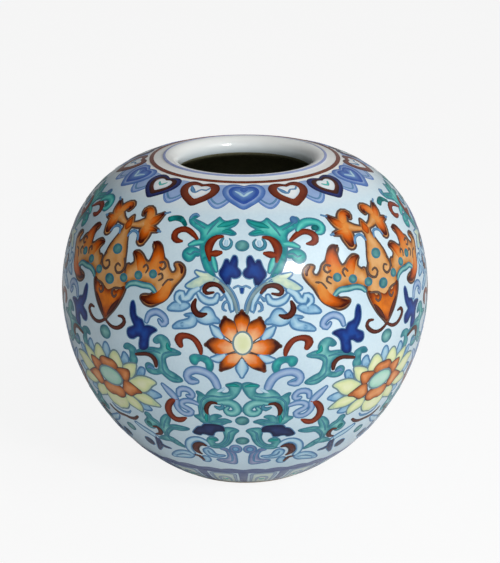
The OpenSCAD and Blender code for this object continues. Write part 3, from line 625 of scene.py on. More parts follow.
# What lies on a bat axis, with turn 0 on it
BAT_MIDDLE = (
    mirrored("bats", (0.0, 30.9), (1.2, 29.6), (2.1, 28.3), (1.5, 26.9), (2.1, 25.2), (3.0, 23.4),
             (4.0, 21.4), (4.6, 19.2), (5.4, 17.2), (6.0, 15.2), (7.0, 13.0), (6.5, 10.9), (5.3, 8.8),
             (3.8, 6.8), (2.2, 5.2), (0.9, 4.0), (0.0, 3.2)),
    mirrored("bat_bodies", (0.0, 10.8), (2.0, 11.6), (3.6, 11.2), (5.2, 12.4), (6.9, 12.9), (6.4, 10.9),
             (5.2, 8.8), (3.7, 6.8), (2.1, 5.2), (0.8, 4.0), (0.0, 3.3), layer=Layer.OVER),
    mirrored("bat_tips", (0.0, 30.4), (0.9, 29.4), (1.6, 28.3), (0.9, 27.2), (0.0, 26.6), layer=Layer.OVER),
    *(stroke("dark_red_accents", (side * 5.0, 9.0, 0.4), (side * 3.8, 7.7, 1.2), (side * 2.4, 6.1, 1.3),
             (side * 1.0, 4.6, 0.5), layer=Layer.TOP) for side in (-1, 1)),
    dot("turquoise_spots", 0.0, 21.4, 1.75, 1.1, layer=Layer.OVER),
    dot("turquoise_spots", 0.0, 13.6, 1.65, 1.1, layer=Layer.TOP),
    dot("turquoise_spots", 0.0, -0.4, 2.1, 1.6),
    dot("turquoise_spots", 0.0, -30.6, 1.8, 1.3),
    mirrored("pale_blue_leaves", (0.0, -3.4), (0.9, -4.0), (1.4, -5.4), (1.0, -6.8), (0.0, -7.4),
             layer=Layer.LINE),
    mirrored("yellow_lotus", (0.0, -18.6), (3.2, -18.6), (4.7, -18.7), (5.1, -20.4), (4.3, -21.8),
             (3.2, -22.6), (1.4, -23.0), (0.0, -23.4), layer=Layer.OVER),
    mirrored("rust_petals", (0.0, -7.8), (1.6, -7.7), (3.0, -8.1), (4.0, -9.2), (3.0, -10.2), (1.5, -10.3),
             (0.0, -10.4), layer=Layer.TOP),
    mirrored("rust_petals", (0.0, -15.3), (2.4, -15.4), (4.2, -15.8), (4.9, -16.7), (4.6, -17.9),
             (3.6, -18.7), (2.0, -19.1), (0.0, -18.8), layer=Layer.TOP),
    dot("mint_middles", 0.0, -12.9, 4.8, 2.4, layer=Layer.CREST),
)


# The collar of hearts under the mouth, each with turn 0 on its own axis
HEART = ((0.0, 46.2), (2.6, 46.7), (5.8, 46.9), (8.8, 46.2), (10.3, 44.4), (9.4, 42.3), (6.8, 40.4),
         (3.4, 38.8), (0.0, 37.6))
HEART_MIDDLE = 43.3


def heart(share: float) -> list[Point]:
    """Half of a heart's outline, drawn smaller or larger about its middle."""
    return [(turn * share, HEART_MIDDLE + (climb - HEART_MIDDLE) * share) for turn, climb in HEART]


RED_HEART = (
    mirrored("ruyi_red", *HEART),
    mirrored("ruyi_white", *heart(0.56), layer=Layer.OVER),
    stroke("blue_outlines", (-5.0, 44.6, 0.5), (-3.2, 43.2, 1.2), (-1.2, 42.4, 0.7), (1.0, 43.7, 0.5),
           (3.6, 43.6, 0.6), (5.0, 44.6, 0.4), layer=Layer.TOP),
)
NAVY_HEART = (
    mirrored("ruyi_navy", *HEART),
    mirrored("dark_red_accents", *heart(0.76), layer=Layer.OVER),
    mirrored("ruyi_white", *heart(0.5), layer=Layer.TOP),
    stroke("green_leaves", (-2.4, 43.6, 0.5), (0.0, 42.7, 0.8), (2.2, 44.0, 0.4), layer=Layer.CREST,
           edged=False),
)
BLUE_HEART = (
    mirrored("ruyi_blue", *heart(1.05)),
    mirrored("collar_lappets", *heart(0.84), layer=Layer.OVER),
    mirrored("collar_rings", *heart(0.74), layer=Layer.TOP, shade=Shade.EVEN),
    mirrored("ruyi_blue", *heart(0.56), layer=Layer.CREST),
    arched("pale_blue_leaves", (-4.2, 43.8, 0.4), (-2.0, 43.0, 0.8), (0.0, 41.9, 0.7), layer=Layer.PEAK,
           edged=False),
    arched("collar_rings", (-1.3, 44.5, 0.7), (0.0, 43.7, 0.7), layer=Layer.PEAK),
)
HEARTS = (BLUE_HEART, RED_HEART, NAVY_HEART)
LAPPET = (
    mirrored("collar_lappets", (0.0, 46.6), (3.4, 46.2), (5.6, 44.0), (5.4, 41.6), (4.2, 39.9), (2.4, 38.5),
             (0.0, 37.6), layer=Layer.UNDER, shade=Shade.EVEN),
    arched("blue_outlines", (-4.6, 42.2, 0.4), (-3.2, 40.4, 0.5), (0.0, 39.0, 0.5), layer=Layer.LINE),
    arched("ruyi_blue", (-5.5, 42.4, 0.4), (-4.4, 39.8, 0.5), (0.0, 37.6, 0.6), layer=Layer.LINE),
)

# One panel of the foot, with turn 0 on the bar at its side
PANEL = (
    arched("foot_bars", (-10.2, -44.3, 1.9), (-7.5, -43.9, 2.3), (-5.0, -43.8, 2.6), (-2.5, -44.0, 2.3),
           (0.0, -44.2, 2.0), shade=Shade.EVEN),
    stroke("foot_bars", (0.0, -45.0, 2.6), (0.0, -50.0, 2.2), (0.0, -55.6, 2.2), shade=Shade.EVEN),
    patch("foot_fills", (4.6, -47.0), (15.4, -47.0), (15.2, -55.0), (4.8, -55.0), layer=Layer.UNDER),
    stroke("foot_frames", (4.2, -56.0, 0.6), (4.2, -50.0, 0.9), (4.6, -46.9, 1.0), (10.0, -46.6, 1.0),
           (15.4, -46.9, 1.0), (15.8, -50.0, 0.9), (15.8, -56.0, 0.6)),
    stroke("foot_frames", (7.0, -54.6, 0.5), (7.4, -50.6, 0.8), (10.0, -49.4, 0.9), (12.6, -50.6, 0.8),
           (13.0, -54.6, 0.5)),
    stroke("green_leaves", (8.8, -51.6, 0.6), (10.0, -52.6, 1.0), (11.2, -51.6, 0.6), edged=False),
)


@dataclass(frozen=True)
class WallCurve:
    """Outside of the glazed wall in mm: the side's arc, a sphere's zone, the shoulder's arc."""

    belly_radius: float = 50.0
    belly_height: float = 49.0
    foot_radius: float = 22.0
    lip_radius: float = 23.5
    lip_height: float = 86.0
    side_from: float = math.radians(-6)
    shoulder_from: float = math.radians(20)

    def leaving(self, angle: float, end: Point) -> Arc:
        """Radius and middle of the arc that leaves the sphere at an angle and ends at a point."""
        way = (math.cos(angle), math.sin(angle))
        gap = (end[0] - self.belly_radius * way[0], end[1] - self.belly_height - self.belly_radius * way[1])
        arc = -(gap[0] ** 2 + gap[1] ** 2) / (2 * (gap[0] * way[0] + gap[1] * way[1]))
        reach = self.belly_radius - arc
        return arc, reach * way[0], self.belly_height + reach * way[1]

    @cached_property
    def side(self) -> Arc:
        """Radius and middle of the side's arc."""
        return self.leaving(self.side_from, (self.foot_radius, 0.0))

    @cached_property
    def shoulder(self) -> Arc:
        """Radius and middle of the shoulder's arc."""
        return self.leaving(self.shoulder_from, (self.lip_radius, self.lip_height))

    def bend(self, climb: float) -> tuple[float, Arc]:
        """Angle of the wall's normal over the horizon at a climb from the belly, and its arc there."""
        low, high = self.belly_radius * self.side_from, self.belly_radius * self.shoulder_from
        if climb < low:
            return self.side_from + (climb - low) / self.side[0], self.side
        if climb > high:
            return self.shoulder_from + (climb - high) / self.shoulder[0], self.shoulder
        return climb / self.belly_radius, (self.belly_radius, 0.0, self.belly_height)

    def section(self, climb: float, lift: float = 0.0) -> Point:
        """Radius and height in mm of the wall at a climb, raised off the glaze by a lift."""
        angle, (arc, across, up) = self.bend(climb)
        return across + (arc + lift) * math.cos(angle), up + (arc + lift) * math.sin(angle)

    def climb_at_height(self, height: float) -> float:
        """Climb on the side at which the outside has a height."""
        arc, _, up = self.side
        return self.belly_radius * self.side_from + arc * (math.asin((height - up) / arc) - self.side_from)

    def climb_at_radius(self, radius: float, depth: float = 0.0) -> float:
        """Climb on the shoulder at which the wall, taken in by a depth, has a radius."""
        arc, across, _ = self.shoulder
        angle = math.acos((radius - across) / (arc - depth))
        return self.belly_radius * self.shoulder_from + arc * (angle - self.shoulder_from)

    def place(self, turn: float, climb: float, lift: float) -> Vector:
        """Point on the pot in metres, for a turn in degrees, a climb and a lift in mm."""
        radius, height = self.section(climb, lift)
        angle = math.radians(turn)
        return Vector((radius * math.sin(angle), -radius * math.cos(angle), height)) * MM

    def per_degree(self, climb: float) -> float:
        """Millimetres along the wall that one degree of turn takes up at a climb."""
        return math.radians(self.section(climb)[0])


WALL = WallCurve()
Lay = Callable[[float, float], Point]


def smooth_path(points: Sequence[Sequence[float]], closed: bool, step: float) -> list[tuple[float, ...]]:
    """Run a smooth curve through points.

    Args:
        points: Places of any dimension, the first two in mm.
        closed: Whether the curve comes back to its start.
        step: Greatest distance between the samples, in mm.

    Returns:
        Samples along the curve. A closed curve's last sample isn't its first again.
    """
    count = len(points)
    samples: list[tuple[float, ...]] = []
    for index in range(count if closed else count - 1):
        def near(offset: int) -> Sequence[float]:
            """The point at an offset from the span's start, held at the ends of an open curve."""
            at = index + offset
            return points[at % count] if closed else points[min(max(at, 0), count - 1)]
        before, start, end, after = near(-1), near(0), near(1), near(2)
        parts = max(2, math.ceil(math.dist(start[:2], end[:2]) / step))
        for part in range(parts):
            t = part / parts
            samples.append(tuple(
                0.5 * (2 * b + (c - a) * t + (2 * a - 5 * b + 4 * c - d) * t ** 2
                       + (3 * b - a - 3 * c + d) * t ** 3)
                for a, b, c, d in zip(before, start, end, after)))
    if not closed:
        samples.append(tuple(points[-1]))
    return samples


class Coat:
    """Mesh of one fired colour, gathered mark by mark as closed thin solids."""

    # In mm: depth in the glaze, steps of the mesh, reach of the edge's rounding and tone, least width
    SUNK = -0.03
    STEP = 0.8
    GRID = 1.1
    SHY = 0.42
    RIM_REACH = 1.3
    THINNEST = 0.02
    # Marks of a coat lie at one of a few heights that differ by this, so that none flicker
    OVERLAP = 0.0002
    OVERLAPS = 10
    # A stroke's shoulder: its share of the half width, of the middle's height and of the edge's tone
    SHOULDER_OUT = 0.6
    SHOULDER_UP = 0.7
    SHOULDER_TONE = 0.45
    CAP_ANGLES = tuple(math.radians(degrees) for degrees in (35, 65, 86))
    CREASE = math.radians(50)
    # Tones: of an even mark, and of a petal at its tip, its edge and its root
    EVEN_TONE = 0.5
    TIP_TONE = 1.5
    EDGE_TONE = 0.5
    ROOT_TONE = 0.2
    DEEPEST = 1.15

    def __init__(self, enamel: Enamel) -> None:
        """Start an empty coat of an enamel."""
        self.enamel = enamel
        self.corners: list[Vector] = []
        self.faces: list[tuple[int, ...]] = []
        self.tones: list[float] = []
        self.marks = 0

    def raised(self, layer: Layer, outline: bool) -> tuple[float, float]:
        """Edge and middle height of the next mark, a hair over the one before."""
        self.marks = (self.marks + 1) % self.OVERLAPS
        extra = self.marks * self.OVERLAP
        line, edge, middle = layer.value
        return (line + extra, line + extra) if outline else (edge + extra, middle + extra)

    @classmethod
    def tone(cls, shade: Shade, share: float, rim: float) -> float:
        """Tone of a stroke from 0, pale, to 1, deep.

        Args:
            shade: How the tone runs.
            share: How far along the stroke, from 0 to 1.
            rim: How near to its edge, from 0 to 1.

        Returns:
            The tone.
        """
        if shade is Shade.PETAL:
            return min(cls.DEEPEST, cls.TIP_TONE * share ** 2 + cls.EDGE_TONE * rim * (cls.ROOT_TONE + share))
        return rim if shade is Shade.RIM else cls.EVEN_TONE

    def add(self, lay: Lay, turn: float, climb: float, lift: float, tone: float) -> int:
        """Add one point of the coat and return its number."""
        place, up = lay(turn, climb)
        self.corners.append(WALL.place(place, up, lift))
        self.tones.append(tone)
        return len(self.corners) - 1

    def brush(self, dabs: Sequence[Dab], lay: Lay, layer: Layer, shade: Shade, closed: bool = False,
              outline: bool = False) -> None:
        """Lay a stroke as a low domed band with round ends.

        Args:
            dabs: Turn in degrees, climb in mm and width in mm at each dab.
            lay: Puts a mark's own turn and climb on the pot.
            layer: Height of the coat.
            shade: How its tone runs.
            closed: Whether the stroke runs round into its own start.
            outline: Whether it is the line that edges a mark of that layer.
        """
        scale = WALL.per_degree(sum(dab[1] for dab in dabs) / len(dabs))
        path = smooth_path([(turn * scale, climb, width) for turn, climb, width in dabs], closed, self.STEP)
        if not closed:
            path = self.round_ends(path)
        edge, middle = self.raised(layer, outline)
        shoulder = edge + (middle - edge) * self.SHOULDER_UP
        section = ((-1, edge, 1.0), (-self.SHOULDER_OUT, shoulder, self.SHOULDER_TONE), (0, middle, 0.0),
                   (self.SHOULDER_OUT, shoulder, self.SHOULDER_TONE), (1, edge, 1.0), (1, self.SUNK, 1.0),
                   (-1, self.SUNK, 1.0))
        rings: list[list[int]] = []
        last = len(path) - 1
        gone = [0.0]
        for one, two in zip(path, path[1:]):
            gone.append(gone[-1] + math.dist(one[:2], two[:2]))
        for index, (x, y, width) in enumerate(path):
            ahead = path[(index + 1) % len(path)] if closed else path[min(index + 1, last)]
            behind = path[index - 1] if closed or index else path[0]
            way = (ahead[0] - behind[0], ahead[1] - behind[1])
            length = math.hypot(*way) or 1.0
            side = (-way[1] / length, way[0] / length)
            ring = []
            for across, lift, rim in section:
                reach = across * max(width, self.THINNEST) / 2
                tone = self.tone(shade, gone[index] / gone[last], rim)
                ring.append(self.add(lay, (x + side[0] * reach) / scale, y + side[1] * reach, lift, tone))
            rings.append(ring)
        self.skin(rings, closed)

    @classmethod
    def round_ends(cls, path: list[tuple[float, ...]]) -> list[tuple[float, ...]]:
        """Round off the two ends of a path of places and widths by half a width each."""
        def cap(end: tuple[float, ...], inner: tuple[float, ...]) -> list[tuple[float, ...]]:
            """Samples beyond an end, from the end outwards."""
            way = (end[0] - inner[0], end[1] - inner[1])
            length = math.hypot(*way) or 1.0
            half = end[2] / 2
            return [(end[0] + way[0] / length * half * math.sin(angle),
                     end[1] + way[1] / length * half * math.sin(angle), end[2] * math.cos(angle))
                    for angle in cls.CAP_ANGLES]
        return cap(path[0], path[1])[::-1] + path + cap(path[-1], path[-2])

    def skin(self, rings: list[list[int]], closed: bool) -> None:
        """Join rings of points into a closed skin, with end faces where it doesn't run round."""
        pairs = list(zip(rings, rings[1:]))
        if closed:
            pairs.append((rings[-1], rings[0]))
        for one, two in pairs:
            count = len(one)
            self.faces.extend((one[k], one[(k + 1) % count], two[(k + 1) % count], two[k])
                              for k in range(count))
        if not closed:
            self.faces.append(tuple(reversed(rings[0])))
            self.faces.append(tuple(rings[-1]))

    def fill(self, corners: Sequence[Point], lay: Lay, layer: Layer, shade: Shade) -> list[Point]:
        """Fill a closed outline with a low pad of enamel.

        Args:
            corners: Turn in degrees and climb in mm along the outline.
            lay: Puts a mark's own turn and climb on the pot.
            layer: Height of the coat.
            shade: How its tone runs.

        Returns:
            The smooth outline that was filled, in the same units as the corners.
        """
        scale = WALL.per_degree(sum(corner[1] for corner in corners) / len(corners))
        outline = [sample[:2] for sample in
                   smooth_path([(turn * scale, climb) for turn, climb in corners], True, self.STEP)]
        inner = self.inner_points(outline)
        count = len(outline)
        flat = [Vector(point) for point in (*outline, *inner)]
        points, _, triangles, sources, _, _ = delaunay_2d_cdt(flat, [], [list(range(count))], 1, 1e-6)
        edge, middle = self.raised(layer, False)
        top, bottom = [], []
        for point, source in zip(points, sources):
            away = 0.0 if source and min(source) < count else self.clearance(point, outline)
            share = min(1.0, away / self.SHY)
            tone = self.EVEN_TONE if shade is Shade.EVEN else 1 - min(1.0, away / self.RIM_REACH)
            lift = edge + (middle - edge) * share
            top.append(self.add(lay, point[0] / scale, point[1], lift, tone))
            bottom.append(self.add(lay, point[0] / scale, point[1], self.SUNK, tone))
        self.close_pad(triangles, top, bottom)
        return [(x / scale, y) for x, y in outline]

    def close_pad(self, triangles: Sequence[Sequence[int]], top: list[int], bottom: list[int]) -> None:
        """Make a pad's upper and lower faces and the wall round it.

        Args:
            triangles: The pad's flat triangles.
            top: Number of each flat point's corner on the upper face.
            bottom: Number of each flat point's corner on the lower face.
        """
        sides: dict[tuple[int, int], None] = {}
        for triangle in triangles:
            self.faces.append(tuple(top[k] for k in triangle))
            self.faces.append(tuple(bottom[k] for k in reversed(triangle)))
            for k, corner in enumerate(triangle):
                sides[(corner, triangle[(k + 1) % len(triangle)])] = None
        for one, two in sides:
            if (two, one) not in sides:
                self.faces.append((top[two], top[one], bottom[one], bottom[two]))

    def inner_points(self, outline: Sequence[Point]) -> list[Point]:
        """Points on a grid inside an outline, clear of its edge."""
        low = [min(point[k] for point in outline) for k in (0, 1)]
        high = [max(point[k] for point in outline) for k in (0, 1)]
        found = []
        rows = int((high[1] - low[1]) / self.GRID) + 1
        columns = int((high[0] - low[0]) / self.GRID) + 1
        for row in range(rows):
            for column in range(columns):
                point = (low[0] + (column + 0.5 * (row % 2)) * self.GRID,
                         low[1] + (row + 0.5) * self.GRID)
                if self.encloses(outline, point) and self.clearance(point, outline) > self.SHY:
                    found.append(point)
        return found

    @staticmethod
    def encloses(outline: Sequence[Point], point: Point) -> bool:
        """Whether a point lies inside an outline."""
        inside = False
        for one, two in zip(outline, (*outline[1:], outline[0])):
            if (one[1] > point[1]) != (two[1] > point[1]):
                if point[0] < one[0] + (point[1] - one[1]) / (two[1] - one[1]) * (two[0] - one[0]):
                    inside = not inside
        return inside

    @staticmethod
    def clearance(point: Sequence[float], outline: Iterable[Point]) -> float:
        """Distance of a point from the nearest sample of an outline."""
        return min(math.dist((point[0], point[1]), sample) for sample in outline)

    def piece(self) -> bpy.types.Object:
        """Make the coat's object."""
        mesh = bpy.data.meshes.new(self.enamel.piece)
        mesh.from_pydata(self.corners, [], self.faces)
        tone = mesh.attributes.new(TONE, "FLOAT", "POINT")
        tone.data.foreach_set("value", self.tones)
        made = bpy.data.objects.new(self.enamel.piece, mesh)
        bpy.context.scene.collection.objects.link(made)
        with Editing(made):
            bpy.ops.mesh.select_all(action="SELECT")
            bpy.ops.mesh.normals_make_consistent(inside=False)
        bpy.ops.object.shade_smooth_by_angle(angle=self.CREASE)
        return made


class Editing:
    """Edit mode on one object alone, left again at the end of the block."""

    def __init__(self, piece: bpy.types.Object) -> None:
        """Name the object to edit."""
        self.piece = piece

    def __enter__(self) -> None:
        """Select the object alone and go into edit mode."""
        bpy.ops.object.select_all(action="DESELECT")
        self.piece.select_set(True)
        bpy.context.view_layer.objects.active = self.piece
        bpy.ops.object.mode_set(mode="EDIT")

    def __exit__(self, *_: object) -> None:
        """Go back to object mode."""
        bpy.ops.object.mode_set(mode="OBJECT")


class Wire:
    """A shader socket that takes part in Python expressions."""

    def __init__(self, shader: "Shader", socket: bpy.types.NodeSocket) -> None:
        """Wrap a socket of a shader."""
        self.shader = shader
        self.socket = socket

    def maths(self, operation: str, *values: "Wire | float") -> "Wire":
        """Add a Math node for an operation on this socket and other values."""
        return self.shader.node("ShaderNodeMath", {"operation": operation},
                                dict(enumerate((self, *values))))

    def __add__(self, other: "Wire | float") -> "Wire":
        """Sum."""
        return self.maths("ADD", other)

    def __mul__(self, other: "Wire | float") -> "Wire":
        """Product."""
        return self.maths("MULTIPLY", other)

    def __sub__(self, other: "Wire | float") -> "Wire":
        """Difference."""
        return self.maths("SUBTRACT", other)

    def __rsub__(self, other: float) -> "Wire":
        """Difference from a number."""
        return self.shader.node("ShaderNodeMath", {"operation": "SUBTRACT"}, {0: other, 1: self})

    __radd__ = __add__
    __rmul__ = __mul__


class Shader:
    """A material or a sky being wired: its surface and the nodes that feed it."""

    def __init__(self, owner: bpy.types.Material | bpy.types.World) -> None:
        """Start to wire a new material or world."""
        owner.use_nodes = True
        self.owner = owner
        self.tree = owner.node_tree
        self.surface = self.find("BSDF_PRINCIPLED", "BACKGROUND")

    def find(self, *kinds: str) -> bpy.types.Node:
        """The tree's first node of one of the kinds."""
        return next(node for node in self.tree.nodes if node.type in kinds)

    def node(self, kind: str, settings: dict[str, object], inputs: dict[int | str, object],
             output: int | str = 0) -> Wire:
        """Add a node.

        Args:
            kind: Blender's name of the node's type.
            settings: Properties set before the links, or a ramp's stops.
            inputs: Values or wires by socket.
            output: The socket that the result is taken from.

        Returns:
            The wire of that output.
        """
        made = self.tree.nodes.new(kind)
        for name, value in settings.items():
            if name == "stops":
                self.set_stops(made.color_ramp, value)
            else:
                setattr(made, name, value)
        for name, value in inputs.items():
            self.feed(made.inputs[name], value)
        return Wire(self, made.outputs[output])

    @staticmethod
    def set_stops(ramp: bpy.types.ColorRamp, stops: Sequence[tuple[float, Colour]]) -> None:
        """Set a ramp's stops from places and colours."""
        while len(ramp.elements) < len(stops):
            ramp.elements.new(1.0)
        for element, (place, colour) in zip(ramp.elements, stops):
            element.position = place
            element.color = (*colour, 1.0)

    def feed(self, socket: bpy.types.NodeSocket, value: object) -> None:
        """Link a wire to a socket, or set the socket's own value."""
        if isinstance(value, Wire):
            self.tree.links.new(value.socket, socket)
        else:
            socket.default_value = value

    def place(self) -> Wire:
        """Object coordinates."""
        return self.node("ShaderNodeTexCoord", {}, {}, "Object")

    def noise(self, grain: Grain) -> Wire:
        """Noise of a grain on Object coordinates, about 0.5 in the middle."""
        return self.node("ShaderNodeTexNoise", {},
                         {"Vector": self.place(), "Scale": grain.scale, "Detail": grain.detail}, "Fac")

    def bump(self, height: Wire, strength: float, distance: float) -> Wire:
        """Normals bumped by a height from 0 to 1, which stands for a distance in metres."""
        return self.node("ShaderNodeBump", {},
                         {"Height": height, "Strength": strength, "Distance": distance})

    def ramp(self, share: Wire, *stops: tuple[float, Colour]) -> Wire:
        """Colour by a share from 0 to 1."""
        return self.node("ShaderNodeValToRGB", {"stops": stops}, {"Fac": share})

    def finish(self, **inputs: object) -> bpy.types.Material | bpy.types.World:
        """Feed the surface's sockets, named with underscores for spaces, and return what was wired."""
        for name, value in inputs.items():
            self.feed(self.surface.inputs[name.replace("_", " ")], value)
        return self.owner


@dataclass(frozen=True)
class Glaze:
    """Clear glaze over porcelain: clouded a little, with faint orange peel and dust.

    It is pale where it is thin and deep where it pools, and may have a colour of its own up at the mouth,
    which comes in between two heights in metres.
    """

    name: str
    pale: Colour
    full: Colour
    deep: Colour
    roughness: float
    lip: Colour | None = None
    lip_from: float = 0.0800
    lip_to: float = 0.0856
    dust_share: float = 0.25
    peel_roughness: float = 0.03
    peel_strength: float = 0.4
    peel_depth: float = 0.0002

    def material(self) -> bpy.types.Material:
        """Wire the glaze."""
        shader = Shader(bpy.data.materials.new(self.name))
        clouds = shader.noise(CLOUDS)
        peel = shader.noise(PEEL)
        dust = shader.noise(DUST)
        thickness = clouds * (1 - self.dust_share) + dust * self.dust_share
        colour = shader.ramp(thickness, (0.3, self.pale), (0.5, self.full), (0.75, self.deep))
        if self.lip:
            height = shader.node("ShaderNodeSeparateXYZ", {}, {0: shader.place()}, 2)
            share = shader.node("ShaderNodeMapRange", {}, {0: height, 1: self.lip_from, 2: self.lip_to})
            colour = shader.node("ShaderNodeMix", {"data_type": "RGBA"},
                                 {0: share, 6: colour, 7: (*self.lip, 1.0)}, 2)
        return shader.finish(Base_Color=colour, Roughness=self.roughness + peel * self.peel_roughness,
                             Normal=shader.bump(peel, self.peel_strength, self.peel_depth))


@dataclass(frozen=True)
class Clay:
    """Bare fired clay: matt, finely grained and a little stained."""

    name: str
    pale: Colour
    deep: Colour
    roughness: float = 0.72
    grit_roughness: float = 0.15
    grit_share: float = 0.3
    grit_strength: float = 0.4
    grit_depth: float = 0.00006

    def material(self) -> bpy.types.Material:
        """Wire the clay."""
        shader = Shader(bpy.data.materials.new(self.name))
        stain = shader.noise(STAIN)
        grit = shader.noise(GRIT)
        colour = shader.ramp(stain * (1 - self.grit_share) + grit * self.grit_share,
                             (0.3, self.pale), (0.7, self.deep))
        return shader.finish(Base_Color=colour, Roughness=self.roughness + grit * self.grit_roughness,
                             Normal=shader.bump(grit, self.grit_strength, self.grit_depth))


def settle(piece: bpy.types.Object, finish: bpy.types.Material, slot: str, *nodes: str) -> None:
    """Dress a new piece and set it on the pot.

    Args:
        piece: The piece.
        finish: Its material.
        slot: The record's slot of its finish; not used.
        nodes: CAD nodes that it stands for.
    """
    piece.data.materials.clear()
    piece.data.materials.append(finish)
    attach(piece, "root")
    if nodes:
        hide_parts(*nodes)
    LOG.info("%s: %d faces", piece.name, len(piece.data.polygons))


PALE_GLAZE = Glaze("pale_glaze", ink(214, 232, 241), ink(202, 224, 236), ink(186, 210, 225), roughness=0.03,
                   lip=ink(240, 243, 242))
# Painted shade: the inside glaze is coloured dark olive to stand for the shade in the pot's hollow
INNER_SHADE_GLAZE = Glaze("shade_painted_inner_glaze", ink(150, 148, 118), ink(126, 124, 96), ink(100, 98, 76),
                   roughness=0.18)
BISCUIT = Clay("bare_biscuit", ink(214, 203, 186), ink(188, 170, 146))
PORCELAIN = Clay("porcelain_clay", ink(232, 230, 224), ink(216, 212, 204))

LIP_LINE = Enamel("lip_line", "cobalt_blue", ink(176, 186, 222), ink(146, 160, 206), ink(118, 132, 186),
                  nodes=("mouth_blue_line",))
LIP_RED = Enamel("lip_red", "iron_red_enamel", ink(140, 66, 34), ink(110, 46, 24), ink(76, 28, 16),
                 nodes=("mouth_red_ring",))
FOOT_LINE = Enamel("foot_line", "cobalt_blue", ink(112, 124, 160), ink(86, 98, 142), ink(66, 76, 120),
                   nodes=("panel_line",))


@dataclass
class Pot:
    """The glazed pot itself, turned from sections of its coats, with its sizes in mm."""

    glaze: float = 0.3
    wall: float = 3.2
    bead: float = 2.6
    bead_radius: float = 20.8
    bead_rise: float = 0.2
    bare_foot: float = 1.2
    foot_rim: float = 3.0
    foot_height: float = 5.0
    foot_bevel: float = 0.5
    foot_ease: float = 0.25
    floor_height: float = 9.0
    floor_meets_wall: float = 15.5
    dish_arc: float = 90.0
    pinhole: float = 0.02
    paint: float = 0.09
    paint_sunk: float = 0.03
    line_width: float = 0.7
    line_paint: float = 0.07
    red_ring_radius: float = 25.5
    red_ring_gap: float = 0.9
    foot_line_height: float = 8.4
    foot_line_half: float = 0.5
    steps: int = 240
    bead_steps: int = 22
    floor_steps: int = 14
    climb_step: float = 0.9
    weld: float = 0.002
    crease: float = math.radians(40)

    def spin(self, name: str, section: Sequence[Point]) -> bpy.types.Object:
        """Turn a closed section into a ring.

        Args:
            name: Name of the piece.
            section: Radius and height in mm of the section's points, in order.

        Returns:
            The piece.
        """
        bpy.ops.object.select_all(action="DESELECT")
        bpy.ops.mesh.primitive_circle_add(vertices=len(section), radius=MM, fill_type="NOTHING")
        piece = bpy.context.object
        piece.name = piece.data.name = name
        for vertex, (radius, height) in zip(piece.data.vertices, section):
            vertex.co = Vector((0.0, -radius, height)) * MM
        with Editing(piece):
            bpy.ops.mesh.select_all(action="SELECT")
            bpy.ops.mesh.spin(steps=self.steps, angle=math.tau, center=(0, 0, 0), axis=(0, 0, 1))
            bpy.ops.mesh.select_all(action="SELECT")
            bpy.ops.mesh.remove_doubles(threshold=self.weld * MM)
            bpy.ops.mesh.normals_make_consistent(inside=False)
        bpy.ops.object.shade_smooth_by_angle(angle=self.crease)
        return piece

    def climbs(self, low: float, high: float) -> list[float]:
        """Climbs along the wall from low to high at even steps."""
        count = max(2, math.ceil((high - low) / self.climb_step))
        return [low + (high - low) * k / count for k in range(count + 1)]

    @property
    def bead_height(self) -> float:
        """Height of the bead's middle."""
        return WALL.section(WALL.climb_at_radius(self.bead_radius, self.bead_depth), -self.bead_depth)[1]

    @property
    def bead_depth(self) -> float:
        """Depth of the bead's middle below the glazed outside."""
        return self.bead + self.glaze - self.bead_rise

    def dark_from(self, coat: float) -> float:
        """Angle on the bead in degrees at which the pale glaze gives way to the inner glaze, which is painted
        dark as shade.
        """
        return 180 + math.degrees(math.asin(self.bead / 2 / (self.bead + coat)))

    def bead_meets(self, coat: float, side: int) -> tuple[float, float]:
        """Where the wall's face runs into the bead.

        Args:
            coat: Thickness of glaze on the clay.
            side: 1 for the outer face, -1 for the inner one.

        Returns:
            Angle on the bead in degrees, and radius from the pot's axis in mm.
        """
        slope = WALL.bend(WALL.climb_at_radius(self.bead_radius, self.bead_depth))[0]
        below = self.glaze if side > 0 else self.glaze + self.wall
        half = coat + side * (self.bead_depth - below)
        along = math.sqrt((self.bead + coat) ** 2 - half ** 2)
        across = along * math.sin(slope) + side * half * math.cos(slope)
        up = -along * math.cos(slope) + side * half * math.sin(slope)
        return math.degrees(math.atan2(up, across)), self.bead_radius + across

    def bead_arc(self, radius: float, start: float, end: float) -> list[Point]:
        """Points round the mouth's bead, from one angle in degrees to another."""
        count = self.bead_steps
        angles = [math.radians(start + (end - start) * k / count) for k in range(count + 1)]
        return [(self.bead_radius + radius * math.cos(angle), self.bead_height + radius * math.sin(angle))
                for angle in angles]

    def outer_section(self) -> list[Point]:
        """Section of the pale glaze: up the outside and over the bead."""
        foot = WALL.climb_at_height(self.bare_foot)

        def face(coat: float) -> list[Point]:
            """The way up on one face of the glaze."""
            start, outer = self.bead_meets(coat, 1)
            outside = self.climbs(foot, WALL.climb_at_radius(outer, self.glaze - coat))
            return ([WALL.section(climb, coat - self.glaze) for climb in outside]
                    + self.bead_arc(self.bead + coat, start, self.dark_from(coat))[1:])
        return face(self.glaze) + face(0.0)[::-1]

    def inner_section(self) -> list[Point]:
        """Section of the inner glaze, painted dark as shade: under the bead, down the inside and over the
        dished floor.
        """
        low = WALL.climb_at_height(self.floor_meets_wall)

        def face(coat: float) -> list[Point]:
            """The way down on one face of the glaze."""
            meets, inner = self.bead_meets(coat, -1)
            depth = self.glaze + self.wall + coat
            wall = self.climbs(low, WALL.climb_at_radius(inner, depth))[::-1]
            down = [WALL.section(climb, -depth) for climb in wall]
            return (self.bead_arc(self.bead + coat, self.dark_from(coat), meets + 360)[:-1] + down
                    + self.floor_points(down[-1][0], coat)[1:])
        return face(0.0) + face(self.glaze)[::-1]

